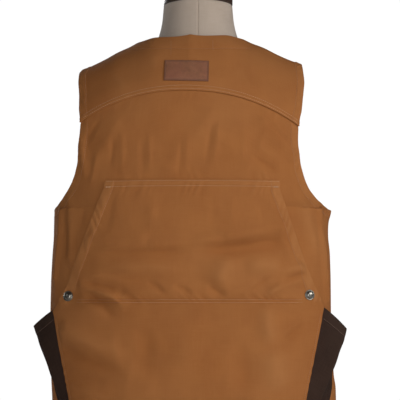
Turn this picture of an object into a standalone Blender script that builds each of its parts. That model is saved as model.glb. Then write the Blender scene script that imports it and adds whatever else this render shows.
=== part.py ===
"""A duck-canvas game vest, worn by a limbless dress form on a short stand.

Metres. +Z is up, +Y is the vest's front and +X the wearer's right. The origin is on the ground under the
stand.

All the cloth is laid over one smooth surface, the inside of the vest. A place on it has two coordinates:
`across`, the angle from the centre line to the side seam, and `up`, the distance up the cloth from the back
hem, over the shoulder line and down the front. Each piece is a wall between two heights above that surface,
so the layers keep their order.
"""

import math

import bmesh
import bpy
import numpy as np
from mathutils import Vector

# Cloth
CANVAS = 0.0014  # thickness of the duck canvas
LAY_GAP = 0.0006  # between one layer of cloth and the next, so that their flat facets stay clear
SEAM_GAP = 0.0003  # between two edges that meet
YOKE_LAP = 0.012  # how far the yoke reaches over the panels under it
GUSSET_CLOTH = 0.0012

# Heights
HEM_Z = 0.150
ARMHOLE_Z = 0.568  # lowest point of the armholes, at the side seams
NECKLINE_DEPTH = 0.068  # how far behind the shoulder line the back neckline lies
NECK_HALF = 0.087  # half width of the neck opening, at the shoulder line
SHOULDER_TILT = 0.0320  # the vest's right shoulder is a little higher than its left
SHOULDER_SEAM = 0.012  # how far in front of the shoulder line the shoulder seam lies

# The curve over the shoulder starts at this height, and is about this long up the cloth
CAP_Z = {"back": 0.640, "front": 0.600}
CAP_LENGTH = {"back": 0.260, "front": 0.270}
BACK_LENGTH = CAP_Z["back"] - HEM_Z + CAP_LENGTH["back"]
FRONT_LENGTH = CAP_Z["front"] - HEM_Z + CAP_LENGTH["front"]
SECTION_POWER = 2.35  # 2 would make the vest's sections ellipses; more makes them squarer

# Columns and rows of points in the panels: BODY_ROWS are those of the back and fronts below the armholes
BACK_COLUMNS = 27
POUCH_COLUMNS = 27
POUCH_SPREAD = 1.25  # more than 1 puts the pouch's columns closer together towards its sides
BODY_ROWS = 10

# Yoke seam across the back: its height at the centre, how far it falls at the armholes, and how it tilts
YOKE_PEAK_Z = 0.7325
YOKE_FALL = 0.0430
YOKE_END = 0.1536
YOKE_TILT = 0.0037
YOKE_CURVE = 2.2
YOKE_LEVEL = 0.004  # the yoke stays up this far above its lap
YOKE_SETTLE = 0.030  # and comes down to lie on the form over this height

# Front closure: the fronts overlap by this much either side of the centre, the left one outside
FRONT_OVERLAP = 0.018
FRONT_COLUMNS = (0, 0.036, 0.083, 0.144, 0.22, 0.31, 0.42, 0.53, 0.64, 0.76, 0.88, 1)
OVERLAP_RAMP = (0.024, 0.052)  # the outer front lies over the inner one up to here, and comes down by there
RAISED_BELOW_Z = 0.700  # and above this height, in the V neck, it has come down everywhere
FRONT_SNAP_Z = (0.185, 0.278, 0.371, 0.464, 0.557)

# The corner of cloth under the right armhole stands out this far, over this height
FLARE = 0.0042
FLARE_REACH = 0.011
FLARE_FROM = (math.radians(78), math.radians(87))

# Game pouch on the back
POUCH_TOP_Z = 0.6045
POUCH_SNAPS = {"left": (-0.1708, 0.4404), "right": (0.1668, 0.4423)}

# Gussets of the pouch
GUSSET_TOP_Z = {"left": 0.4225, "right": 0.4250}
GUSSET_BOTTOM_Z = 0.228
GUSSET_FLANGE = math.radians(2.6)  # the strip of gusset under the pouch's edge and on the body
GUSSET_LEAVES = math.radians(0.5)  # how far beyond the pouch's edge the gusset's rear leaf starts
GUSSET_BODY_TOP = math.radians(99)  # where its front leaf is sewn to the body, round from the centre back
GUSSET_BODY_BOTTOM = math.radians(51)
GUSSET_BODY_CURVE = 0.8  # less than 1 brings that seam back sooner on its way down
GUSSET_FORE_DROP = 0.006  # the front leaf's open edge is sewn this much lower than the rear leaf's
GUSSET_DROP = {"left": 0.0229, "right": 0.0295}  # how far the fold's corner hangs below the mouth's two ends
GUSSET_BULGE = 0.16  # how far each leaf bows out, as a share of the fold's reach
GUSSET_REAR = (0.33, 0.67, 0.93)  # rows of points between the pouch's edge and the fold
GUSSET_FORE = (0.07, 0.33, 0.67)  # and between the fold and the body

# Leather patch on the yoke
PATCH_WIDTH = 0.063
PATCH_HEIGHT = 0.0325
PATCH_CENTRE = (-0.0054, 0.7622)
PATCH_LEATHER = 0.0012
PATCH_TILT = math.radians(1.5)

# Snap caps
SNAP_RADIUS = 0.0075
SNAP_HEIGHT = 0.0036
SNAP_SIDES = 12
SNAP_SEAT = {"left": 0.0015, "right": 0.0009}  # between a pouch snap's flat underside and the curved cloth
SNAP_TILT = 0.34  # the cloth under a pouch snap is turned to the back by this slope
SNAP_TILT_REACH = 0.016  # and this is how far round the snap

# Dress form and stand
NECK_SHIFT = 0.011  # the form's neck stands this far to the vest's right
NECK_TOP_Z = 0.8795
FORM_BOTTOM_Z = 0.100
FORM_CLEAR = 0.0012  # between the form's shoulders and the cloth that rests on them
FORM_LEVEL_HALF = 0.100  # nearer the neck than this the form's shoulders are level
FORM_CLEAR_GROWTH = 0.014
FORM_CLEAR_MOST = 0.004
FORM_SIDES = 36
CAP_RADIUS = 0.0525
CAP_HEIGHT = 0.024
POLE_RADIUS = 0.014
BASE_RADIUS = 0.160
BASE_HEIGHT = 0.016
TURNED_SIDES = 32


def table(columns, rows):
    """A table's columns by name."""
    return dict(zip(columns.split(), np.array(rows, float).T))


# Sections of the vest by height: half widths at the wearer's left and right, and depths behind and in front
# of the side seams
TORSO = table(
    "z left right back front",
    (
        (0.150, 0.2010, 0.2150, 0.1220, 0.1280),
        (0.287, 0.2031, 0.2138, 0.1203, 0.1289),
        (0.306, 0.2043, 0.2134, 0.1200, 0.1290),
        (0.326, 0.2052, 0.2106, 0.1199, 0.1290),
        (0.415, 0.2071, 0.2073, 0.1195, 0.1290),
        (0.461, 0.2065, 0.2073, 0.1200, 0.1292),
        (0.500, 0.2048, 0.2064, 0.1210, 0.1295),
        (0.533, 0.2028, 0.2040, 0.1224, 0.1298),
        (0.568, 0.2026, 0.2050, 0.1240, 0.1300),
        (0.600, 0.2026, 0.2026, 0.1260, 0.1300),
        (0.640, 0.2026, 0.2026, 0.1280, 0.1300),
    ),
)
# Height of the shoulder line out from the centre. Inside the neck opening it only shapes the cloth beside it.
SHOULDER = table(
    "x z",
    (
        (0.000, 0.8550),
        (0.050, 0.8415),
        (0.075, 0.8262),
        (0.087, 0.8196),
        (0.108, 0.8108),
        (0.130, 0.7992),
        (0.150, 0.7902),
        (0.166, 0.7842),
        (0.210, 0.7600),
    ),
)
# Edges of the armholes, back and front: x by height on the wearer's left and right
ARMHOLE = {
    "back": table(
        "z left right",
        (
            (0.568, 0.2026, 0.2050),
            (0.574, 0.1930, 0.1910),
            (0.580, 0.1872, 0.1830),
            (0.587, 0.1816, 0.1766),
            (0.594, 0.1761, 0.1712),
            (0.608, 0.1683, 0.1644),
            (0.622, 0.1637, 0.1599),
            (0.636, 0.1608, 0.1569),
            (0.665, 0.1590, 0.1543),
            (0.694, 0.1577, 0.1560),
            (0.709, 0.1595, 0.1599),
            (0.740, 0.1626, 0.1648),
            (0.757, 0.1648, 0.1668),
            (0.770, 0.1652, 0.1664),
            (0.777, 0.1630, 0.1662),
            (0.788, 0.1595, 0.1660),
        ),
    ),
    "front": table(
        "z left right",
        (
            (0.568, 0.2026, 0.2050),
            (0.576, 0.1880, 0.1880),
            (0.590, 0.1700, 0.1700),
            (0.615, 0.1550, 0.1550),
            (0.650, 0.1480, 0.1480),
            (0.700, 0.1490, 0.1490),
            (0.745, 0.1550, 0.1570),
            (0.788, 0.1590, 0.1660),
        ),
    ),
}
# Inner edge of a front: straight past the centre, then the V neck up to the shoulder line
FRONT_EDGE = table(
    "z x",
    (
        (0.150, -0.0180),
        (0.590, -0.0180),
        (0.612, -0.0120),
        (0.700, 0.0320),
        (0.780, 0.0710),
        (0.8196, 0.0870),
    ),
)
# Outline of the pouch, x by height on the wearer's left and right: its lower sides, corners and slanted sides
POUCH_EDGE = table(
    "z left right",
    (
        (0.150, 0.1437, 0.1355),
        (0.291, 0.1674, 0.1600),
        (0.373, 0.1813, 0.1743),
        (0.4090, 0.1872, 0.1812),
        (0.4185, 0.1901, 0.1830),
        (0.4277, 0.1862, 0.1863),
        (0.4522, 0.1751, 0.1764),
        (0.4675, 0.1696, 0.1702),
        (0.504, 0.1564, 0.1566),
        (0.593, 0.1216, 0.1257),
        (0.6045, 0.1190, 0.1259),
    ),
)
# Where the folds of the gussets lie, x by height
GUSSET_CREASE = table(
    "z left right",
    (
        (0.228, 0.1628, 0.1644),
        (0.251, 0.1708, 0.1714),
        (0.287, 0.1834, 0.1832),
        (0.304, 0.1908, 0.1914),
        (0.322, 0.1988, 0.2000),
        (0.339, 0.2060, 0.2076),
        (0.357, 0.2138, 0.2155),
        (0.375, 0.2219, 0.2235),
        (0.3836, 0.2257, 0.2266),
        (0.3925, 0.2295, 0.2298),
        (0.3966, 0.2313, 0.2312),
    ),
)
# How far the pouch stands off the back at its centre and at its edges
POUCH_LIFT = table(
    "z centre edge",
    (
        (0.150, 0.0002, 0.0002),
        (0.200, 0.0060, 0.0024),
        (0.300, 0.0150, 0.0050),
        (0.395, 0.0110, 0.0085),
        (0.4185, 0.0080, 0.0080),
        (0.4277, 0.0070, 0.0055),
        (0.4400, 0.0064, 0.0024),
        (0.4522, 0.0064, 0.0016),
        (0.480, 0.0080, 0.0022),
        (0.560, 0.0060, 0.0024),
        (0.590, 0.0020, 0.0010),
        (0.6045, 0.0002, 0.0002),
    ),
)
# Soft folds: the piece, the angle and height of both ends, half width, and how far each stands out
FOLD_COLUMNS = "angle_a z_a angle_b z_b width height"
FOLDS = {
    "back": table(
        FOLD_COLUMNS,
        (
            (-44, 0.672, -28, 0.700, 0.011, 0.0030),
            (-45, 0.622, -47, 0.655, 0.010, 0.0026),
            (43, 0.640, 27, 0.688, 0.011, 0.0028),
            (-6, 0.624, 6, 0.700, 0.010, 0.0016),
            (20, 0.628, 8, 0.668, 0.010, 0.0016),
            (-70, 0.470, -66, 0.560, 0.011, 0.0040),
            (-56, 0.500, -57, 0.575, 0.009, 0.0026),
            (72, 0.440, 64, 0.565, 0.011, 0.0040),
        ),
    ),
    "front": table(
        FOLD_COLUMNS,
        (
            (-60, 0.180, -66, 0.470, 0.016, 0.0060),
            (-34, 0.160, -38, 0.400, 0.018, 0.0045),
            (58, 0.170, 64, 0.500, 0.016, 0.0060),
            (33, 0.160, 30, 0.370, 0.018, 0.0045),
            (-40, 0.590, -20, 0.480, 0.014, 0.0035),
            (41, 0.600, 22, 0.470, 0.014, 0.0035),
            (-61, 0.300, -66, 0.540, 0.012, 0.0035),
            (60, 0.330, 66, 0.545, 0.012, 0.0035),
        ),
    ),
    "pouch": table(
        FOLD_COLUMNS,
        (
            (-31, 0.497, -12, 0.493, 0.010, 0.0035),
            (-12, 0.493, 12, 0.500, 0.011, 0.0045),
            (12, 0.500, 36, 0.522, 0.010, 0.0050),
            (-40, 0.522, -16, 0.520, 0.012, 0.0022),
            (10, 0.528, 33, 0.545, 0.011, 0.0030),
            (-44, 0.455, -27, 0.441, 0.009, 0.0034),
            (-20, 0.446, -4, 0.452, 0.009, 0.0026),
            (12, 0.446, 22, 0.456, 0.009, 0.0030),
            (30, 0.448, 47, 0.478, 0.009, 0.0036),
            (-52, 0.385, -20, 0.335, 0.020, 0.0040),
            (-20, 0.335, 10, 0.325, 0.022, 0.0030),
            (50, 0.350, 22, 0.390, 0.018, 0.0034),
            (40, 0.230, 20, 0.300, 0.022, 0.0030),
            (-38, 0.220, -12, 0.250, 0.022, 0.0030),
        ),
    ),
}
METRES_PER_DEGREE = 0.0037  # along the cloth, to measure a fold's width in
# Where the folds die out: below the yoke's seam, towards the side seams, beside the closure, and inside the
# pouch's four edges
FOLDS_BELOW_YOKE = (0.004, 0.024)
FOLDS_FROM_SIDE = math.radians(8)
FOLDS_FROM_CLOSURE = 0.03
FOLDS_FROM_POUCH_TOP = (0.004, 0.024)
FOLDS_FROM_POUCH_HEM = (0.004, 0.034)
FOLDS_FROM_POUCH_SIDE = 0.06  # a share of the way out
POUCH_FULLNESS = 2.4  # more keeps the pouch full further out towards its sides
UNDER_POUCH = (0.0048, 0.0072)  # the back lies flat from this far inside the pouch's edge, and folds beyond
SNAP_METRES_PER_DEGREE = 0.0024  # the same near the pouch's snaps, where the vest curves more
EDGE_GUESS = 0.16  # where the search for an edge's x starts
# The dress form by height: half width, depth behind and in front, and how square its sections are
FORM = table(
    "z half back front power",
    (
        (0.100, 0.166, 0.104, 0.098, 2.3),
        (0.180, 0.172, 0.110, 0.106, 2.3),
        (0.260, 0.172, 0.110, 0.110, 2.3),
        (0.350, 0.163, 0.101, 0.107, 2.3),
        (0.440, 0.156, 0.094, 0.104, 2.3),
        (0.520, 0.163, 0.104, 0.112, 2.3),
        (0.590, 0.167, 0.118, 0.120, 2.5),
        (0.640, 0.156, 0.124, 0.120, 3.2),
        (0.665, 0.152, 0.124, 0.120, 3.8),
        (0.720, 0.150, 0.124, 0.114, 4.6),
        (0.860, 0.150, 0.124, 0.110, 4.6),
    ),
)
FORM_NECK = table(
    "z radius",
    (
        (0.760, 0.0700),
        (0.819, 0.0640),
        (0.828, 0.0612),
        (0.836, 0.0586),
        (0.845, 0.0562),
        (0.858, 0.0540),
        (0.8795, 0.0521),
    ),
)
FORM_RINGS_Z = (
    (0.100, 0.106, 0.125, 0.180, 0.235, 0.290, 0.345, 0.400, 0.450, 0.500, 0.550, 0.590, 0.625)
    + (0.660, 0.690, 0.715, 0.738, 0.758, 0.772, 0.781, 0.789, 0.797, 0.805, 0.812, 0.819, 0.826)
    + (0.834, 0.843, 0.854, 0.867, NECK_TOP_Z)
)
FORM_EDGE_ROUNDING = 0.008


def smooth(rows, key, value, at):
    """The table's `value` column at `at` in its `key` column, on a smooth curve without overshoots."""
    x, y = rows[key], rows[value]
    at = np.clip(at, x[0], x[-1])
    step = np.diff(x)
    slope = np.diff(y) / step
    tangent = np.zeros_like(y)
    tangent[0], tangent[-1] = slope[0], slope[-1]
    same_way = slope[:-1] * slope[1:] > 0
    both = np.where(same_way, slope[:-1] + slope[1:], 1.0)
    tangent[1:-1] = np.where(same_way, 2 * slope[:-1] * slope[1:] / both, 0.0)
    i = np.clip(np.searchsorted(x, at, side="right") - 1, 0, len(step) - 1)
    t = (at - x[i]) / step[i]
    left = (2 * t**3 - 3 * t**2 + 1) * y[i] + (t**3 - 2 * t**2 + t) * step[i] * tangent[i]
    right = (3 * t**2 - 2 * t**3) * y[i + 1] + (t**3 - t**2) * step[i] * tangent[i + 1]
    return left + right


def straight(rows, key, value, at):
    """The same, in straight lines from row to row."""
    return np.interp(at, rows[key], rows[value])


def ease(t):
    """Goes smoothly from 0 to 1 as t does."""
    t = np.clip(t, 0, 1)
    return t * t * (3 - 2 * t)


def signed_power(value, power):
    return np.sign(value) * np.abs(value) ** power


def shoulder_height(x):
    return smooth(SHOULDER, "x", "z", np.abs(x)) + SHOULDER_TILT * x


def half_width(side, z):
    """The vest's half width at a height, on the wearer's left where `side` is negative."""
    return np.where(np.asarray(side) < 0, smooth(TORSO, "z", "left", z), smooth(TORSO, "z", "right", z))


def face_point(face, across, rise):
    """The point of the vest's inside on its back or front, an angle across and a distance up the cloth."""
    body = CAP_Z[face] - HEM_Z
    turn = np.clip((rise - body) / CAP_LENGTH[face], 0, 1) * math.pi / 2
    height = HEM_Z + np.minimum(rise, body)
    x = half_width(across, height) * signed_power(np.sin(across), 2 / SECTION_POWER)
    depth = smooth(TORSO, "z", face, height) * np.abs(np.cos(across)) ** (2 / SECTION_POWER)
    y = (-1 if face == "back" else 1) * depth * np.cos(turn)
    z = height + (shoulder_height(x) - CAP_Z[face]) * np.sin(turn)
    return np.stack([x, y, z], axis=-1)


def inside_point(across, up):
    """The same for `up`, which runs from the back hem over the shoulder line and down the front."""
    across, up = np.broadcast_arrays(np.asarray(across, float), np.asarray(up, float))
    back = face_point("back", across, np.minimum(up, BACK_LENGTH))
    front = face_point("front", across, FRONT_LENGTH - np.maximum(up - BACK_LENGTH, 0))
    return np.where((up > BACK_LENGTH)[..., None], front, back)


def outward(across, up):
    """The unit normal of the vest's inside, pointing away from the wearer."""
    nudge = 0.0004
    widest = math.pi / 2
    right = inside_point(np.minimum(across + nudge, widest), up)
    left = inside_point(np.maximum(across - nudge, -widest), up)
    above = inside_point(across, np.minimum(up + nudge, BACK_LENGTH + FRONT_LENGTH))
    below = inside_point(across, np.maximum(up - nudge, 0.0))
    normal = np.cross(right - left, above - below)
    return normal / np.linalg.norm(normal, axis=-1, keepdims=True)


def lay(across, up, height):
    """Points this far outside the vest's inside."""
    across, up, height = np.broadcast_arrays(
        np.asarray(across, float), np.asarray(up, float), np.asarray(height, float)
    )
    return inside_point(across, up) + outward(across, up) * height[..., None]


def across_of(x, z):
    """The angle across at which the vest's inside has this x."""
    share = np.clip(np.abs(x) / half_width(x, z), 0, 1)
    return np.sign(x) * np.arcsin(share ** (SECTION_POWER / 2))


def rise_to(face, x, z):
    """The distance up the cloth at which the column at x reaches this height."""
    body = CAP_Z[face] - HEM_Z
    reach = shoulder_height(x) - CAP_Z[face]
    turn = np.arcsin(np.clip((z - CAP_Z[face]) / reach, 0, 1))
    return np.where(z > CAP_Z[face], body + CAP_LENGTH[face] * turn / (math.pi / 2), z - HEM_Z)


def height_at(face, x, rise):
    body = CAP_Z[face] - HEM_Z
    turn = np.clip((rise - body) / CAP_LENGTH[face], 0, 1) * math.pi / 2
    return HEM_Z + np.minimum(rise, body) + (shoulder_height(x) - CAP_Z[face]) * np.sin(turn)


def rise_to_depth(face, x, depth):
    """The distance up the cloth at which the column at x has curved in to this depth."""
    body = CAP_Z[face] - HEM_Z
    full = smooth(TORSO, "z", face, CAP_Z[face])
    full = full * np.cos(across_of(x, CAP_Z[face])) ** (2 / SECTION_POWER)
    turn = np.arccos(np.clip(depth / full, 0, 1))
    return body + CAP_LENGTH[face] * turn / (math.pi / 2)


def edge_angle(face, edge, column, rise, sign=1):
    """How far across an edge lies on the row at `rise`, the edge given as x by height."""
    rise = np.asarray(rise, float)
    x = np.full_like(rise, sign * EDGE_GUESS)
    for _ in range(12):
        x = sign * smooth(edge, "z", column, height_at(face, x, rise))
    return sign * across_of(x, height_at(face, x, rise))


def side_angle(face, side, rise):
    """The angle across of a panel's outer edge: the side seam, and the armhole above it."""
    seam = math.pi / 2 - (SEAM_GAP / 2 / TORSO[face][0]) ** (SECTION_POWER / 2)
    sign = -1 if side == "left" else 1
    armhole = edge_angle(face, ARMHOLE[face], side, np.maximum(rise, ARMHOLE_Z - HEM_Z), sign)
    return np.where(rise > ARMHOLE_Z - HEM_Z, np.minimum(armhole, seam), seam)


def across_at(share, left, right):
    """The angle across, as a share of the way out from the centre to the angle `left` or `right`."""
    return share * np.where(share < 0, left, right)


def fold_height(piece, across, z):
    """How far the piece's soft folds stand out at a place."""
    total = np.zeros(np.broadcast(across, z).shape)
    rows = FOLDS[piece]
    for a, z_a, b, z_b, width, height in zip(*(rows[name] for name in FOLD_COLUMNS.split())):
        x_a, x_b = a * METRES_PER_DEGREE, b * METRES_PER_DEGREE
        x = np.degrees(across) * METRES_PER_DEGREE
        length = (x_b - x_a) ** 2 + (z_b - z_a) ** 2
        along = np.clip(((x - x_a) * (x_b - x_a) + (z - z_a) * (z_b - z_a)) / length, 0, 1)
        away = (x - x_a - along * (x_b - x_a)) ** 2 + (z - z_a - along * (z_b - z_a)) ** 2
        total = np.maximum(total, height * np.exp(-away / width**2))
    return total


def yoke_seam_z(x):
    share = np.abs(x) / YOKE_END
    return YOKE_PEAK_Z - YOKE_FALL * share**YOKE_CURVE - YOKE_TILT * x / YOKE_END


def back_across(share, rise):
    return across_at(share, side_angle("back", "left", rise), side_angle("back", "right", rise))


def yoke_seam_rise(share, lap):
    """How far up the cloth the yoke's lower edge lies, moved up by a lap, a share of the way to the side."""
    x = share * YOKE_END
    for _ in range(6):
        rise = rise_to("back", x, yoke_seam_z(x) + lap)
        x = face_point("back", back_across(share, rise), rise)[..., 0]
    return rise


def fold_fade(z, seam_z):
    """Folds of the back die out before the yoke's seam, so that the two layers stay parallel there."""
    start, end = FOLDS_BELOW_YOKE
    return ease((seam_z - z - start) / (end - start))


def flare(across, z):
    """The corner of cloth under the right armhole stands out a little."""
    start, end = FLARE_FROM
    near_seam = ease((across - start) / (end - start))
    return FLARE * np.exp(-(((z - ARMHOLE_Z) / FLARE_REACH) ** 2)) * near_seam


def back_height(across, rise):
    """How far the back panel's inner side lies off the vest's inside."""
    point = face_point("back", across, rise)
    inside, outside = UNDER_POUCH
    from_edge = pouch_edge_x(across, point[..., 2]) - np.abs(point[..., 0])
    under_pouch = ease((from_edge + outside) / (inside + outside)) * (point[..., 2] < POUCH_TOP_Z + outside)
    fade = fold_fade(point[..., 2], yoke_seam_z(point[..., 0])) * (1 - under_pouch)
    seam = ease((math.pi / 2 - np.abs(across)) / FOLDS_FROM_SIDE)
    return fold_height("back", across, point[..., 2]) * fade * seam + flare(across, point[..., 2])


def front_height(across, rise):
    point = face_point("front", across, rise)
    seam = ease((math.pi / 2 - np.abs(across)) / FOLDS_FROM_SIDE)
    closure = ease((np.abs(point[..., 0]) - FRONT_OVERLAP) / FOLDS_FROM_CLOSURE)
    return fold_height("front", across, point[..., 2]) * seam * closure + flare(across, point[..., 2])


def yoke_height(x, z):
    """The yoke's inner side: over the back panel at its lap, then down on the form."""
    above_lap = z - yoke_seam_z(x) - YOKE_LAP - YOKE_LEVEL
    return (CANVAS + LAY_GAP) * (1 - ease(above_lap / YOKE_SETTLE))


def pouch_edge_x(across, z):
    return np.where(
        across < 0, straight(POUCH_EDGE, "z", "left", z), straight(POUCH_EDGE, "z", "right", z)
    )


def edge_across(side, z):
    """How far across the pouch's edge lies at a height, on one side."""
    sign = -1 if side == "left" else 1
    return sign * across_of(sign * straight(POUCH_EDGE, "z", side, z), z)


def snap_tilt(across, z):
    """Round each of its snaps the pouch is turned a little to the back: higher outwards and lower inwards."""
    total = 0
    for x, snap_z in POUCH_SNAPS.values():
        degrees = np.degrees(np.sign(x) * across - abs(across_of(np.array(x), np.array(snap_z))))
        outwards = degrees * SNAP_METRES_PER_DEGREE
        near = np.exp(-(outwards**2 + (z - snap_z) ** 2) / SNAP_TILT_REACH**2)
        total = total + SNAP_TILT * outwards * near
    return total


def pouch_height(across, z):
    """How far the pouch's inner side lies off the vest's inside."""
    x = face_point("back", across, z - HEM_Z)[..., 0]
    share = np.clip(np.abs(x) / pouch_edge_x(across, z), 0, 1)
    centre, edge = (smooth(POUCH_LIFT, "z", column, z) for column in ("centre", "edge"))
    lift = edge + (centre - edge) * (1 - share**POUCH_FULLNESS)
    start, end = FOLDS_FROM_POUCH_TOP
    sewn = ease((POUCH_TOP_Z - z - start) / (end - start))
    start, end = FOLDS_FROM_POUCH_HEM
    sewn = sewn * ease((z - HEM_Z - start) / (end - start))
    folds = fold_height("pouch", across, z) * sewn * ease((1 - share) / FOLDS_FROM_POUCH_SIDE)
    return CANVAS + LAY_GAP + lift + folds + snap_tilt(across, z)


def material(name, colour, roughness, metallic=0.0):
    made = bpy.data.materials.new(name)
    made.use_nodes = True
    shader = made.node_tree.nodes["Principled BSDF"]
    shader.inputs["Base Color"].default_value = (*colour, 1.0)
    shader.inputs["Roughness"].default_value = roughness
    shader.inputs["Metallic"].default_value = metallic
    return made


def finish_mesh(name, vertices, faces, finish, sharp=40):
    """One object from points and faces, its faces turned outwards."""
    mesh = bpy.data.meshes.new(name)
    mesh.from_pydata([tuple(v) for v in vertices], [], faces)
    shape = bmesh.new()
    shape.from_mesh(mesh)
    bmesh.ops.recalc_face_normals(shape, faces=shape.faces)
    shape.to_mesh(mesh)
    shape.free()
    mesh.shade_smooth()
    mesh.set_sharp_from_angle(angle=math.radians(sharp))
    mesh.materials.append(finish)
    thing = bpy.data.objects.new(name, mesh)
    bpy.context.scene.collection.objects.link(thing)
    return thing


def wall(name, inner, outer, finish):
    """A closed wall between two grids of points of the same shape."""
    rows, columns = inner.shape[:2]
    count = rows * columns
    vertices = np.concatenate([inner.reshape(-1, 3), outer.reshape(-1, 3)])
    faces = []
    for i in range(rows - 1):
        for j in range(columns - 1):
            a = i * columns + j
            b, c, d = a + 1, a + columns + 1, a + columns
            faces.append((count + a, count + b, count + c, count + d))
            faces.append((a, d, c, b))
    rim = list(range(columns))
    rim += [i * columns + columns - 1 for i in range(1, rows)]
    rim += [(rows - 1) * columns + j for j in range(columns - 2, -1, -1)]
    rim += [i * columns for i in range(rows - 2, 0, -1)]
    for a, b in zip(rim, rim[1:] + rim[:1]):
        faces.append((a, b, count + b, count + a))
    return finish_mesh(name, vertices, faces, finish)


def cloth_wall(name, across, up, height, thickness, finish):
    return wall(name, lay(across, up, height), lay(across, up, height + thickness), finish)


def back_panel(canvas):
    """The back: hem to yoke, side seam to side seam, and cut away at the armholes."""
    share = np.linspace(-1, 1, BACK_COLUMNS)[None, :]
    armhole = ARMHOLE_Z - HEM_Z
    lower = np.linspace(0, 1, BODY_ROWS)[:-1, None] * armhole + 0 * share
    closer_below = (np.linspace(0, 1, 13) ** 1.9)[:, None]
    upper = armhole + closer_below * (yoke_seam_rise(share, YOKE_LAP) - armhole)
    rise = np.concatenate([lower, upper])
    across = back_across(share, rise)
    cloth_wall("back_panel", across, rise, back_height(across, rise), CANVAS, canvas)


def yoke(canvas):
    """The yoke: from its seam on the back up to the neckline, and over the shoulders to their seams."""
    tips = [float(side_angle("back", side, BACK_LENGTH)) for side in ("left", "right")]
    neck = float(across_of(np.array(NECK_HALF), CAP_Z["back"]))
    half = [
        np.concatenate([np.linspace(0, neck / tip, 7), np.linspace(neck / tip, 1, 7)[1:]]) for tip in tips
    ]
    share = np.concatenate([-half[0][:0:-1], half[1]])[None, :]
    x = face_point("back", across_at(share, *tips), np.array(0.0) + BACK_LENGTH)[..., 0]
    round_neck = np.sqrt(np.clip(1 - (x / NECK_HALF) ** 2, 0, 1))
    y = SHOULDER_SEAM - (NECKLINE_DEPTH + SHOULDER_SEAM) * round_neck
    behind = rise_to_depth("back", x, np.maximum(-y, 0))
    beyond = FRONT_LENGTH - rise_to_depth("front", x, np.maximum(y, 0))
    top = np.where(y < 0, behind, BACK_LENGTH + beyond)
    bottom = yoke_seam_rise(share, 0.0)
    level = np.linspace(0, 1, 14)[:, None]
    up = bottom + (1 - (1 - level) ** 1.3) * (top - bottom)
    across = back_across(share, np.minimum(up, BACK_LENGTH))
    point = inside_point(across, up)
    cloth_wall("yoke", across, up, yoke_height(point[..., 0], point[..., 2]), CANVAS, canvas)


def front_panel(side, canvas):
    """One front: from the closure and V neck out to the side seam and armhole, hem to shoulder seam."""
    name, sign = side
    share = np.array(FRONT_COLUMNS)[None, :]
    armhole = ARMHOLE_Z - HEM_Z
    body = np.linspace(0, 1, BODY_ROWS)[:-1, None] * armhole + 0 * share
    level = ease(np.linspace(0, 1, 17))[:, None]
    top = FRONT_LENGTH + 0 * share
    for _ in range(8):
        rise = np.concatenate([body, armhole + level * (top - armhole)])
        inner = edge_angle("front", FRONT_EDGE, "x", rise)
        across = sign * (inner + share * (side_angle("front", name, rise) - inner))
        x = face_point("front", across[-1:], top)[..., 0]
        top = rise_to_depth("front", x, SHOULDER_SEAM + SEAM_GAP + 0 * x)
    height = front_height(across, rise)
    if name == "left":
        start, end = OVERLAP_RAMP
        x = face_point("front", across, rise)[..., 0]
        fade = ease((RAISED_BELOW_Z - HEM_Z - rise) / 0.03)
        height = height + (CANVAS + LAY_GAP) * ease((x + end) / (end - start)) * fade
    cloth_wall(f"front_{name}", across, BACK_LENGTH + FRONT_LENGTH - rise, height, CANVAS, canvas)


def pouch_panel(canvas):
    """The pouch's outer panel, hem to top seam. Its upper sides are open, the lower on the gussets."""
    even = np.linspace(-1, 1, POUCH_COLUMNS)[None, :]
    share = np.sign(even) * (1 - (1 - np.abs(even)) ** POUCH_SPREAD)
    heights = np.concatenate(
        [
            np.linspace(HEM_Z + 0.002, 0.409, 10),
            np.array([0.4185, 0.4277, 0.4400, 0.4522]),
            np.linspace(0.4675, POUCH_TOP_Z, 9),
        ]
    )[:, None]
    across = across_at(share, edge_across("left", heights), edge_across("right", heights))
    z = heights + 0 * share
    cloth_wall("pouch", across, z - HEM_Z, pouch_height(across, z), CANVAS, canvas)


def round_body(angle, z, height):
    """A point round the vest's body: an angle from the centre back, past a quarter turn on the front."""
    on_front = np.abs(angle) > math.pi / 2
    across = np.where(on_front, np.sign(angle) * math.pi - angle, angle)
    up = np.where(on_front, BACK_LENGTH + FRONT_LENGTH - (z - HEM_Z), z - HEM_Z)
    return lay(across, up, height)


def clear_of_body(points, height):
    """The same points, moved straight back or forwards where they are nearer to the body than `height`."""
    x, y, z = points[..., 0], points[..., 1], points[..., 2]
    share = np.clip(np.abs(x) / (half_width(x, z) + height), 0, 1)
    depth = np.where(y < 0, smooth(TORSO, "z", "back", z), smooth(TORSO, "z", "front", z)) + height
    depth = depth * (1 - share**SECTION_POWER) ** (1 / SECTION_POWER)
    return np.stack([x, np.where(y < 0, -1, 1) * np.maximum(np.abs(y), depth), z], axis=-1)


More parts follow.
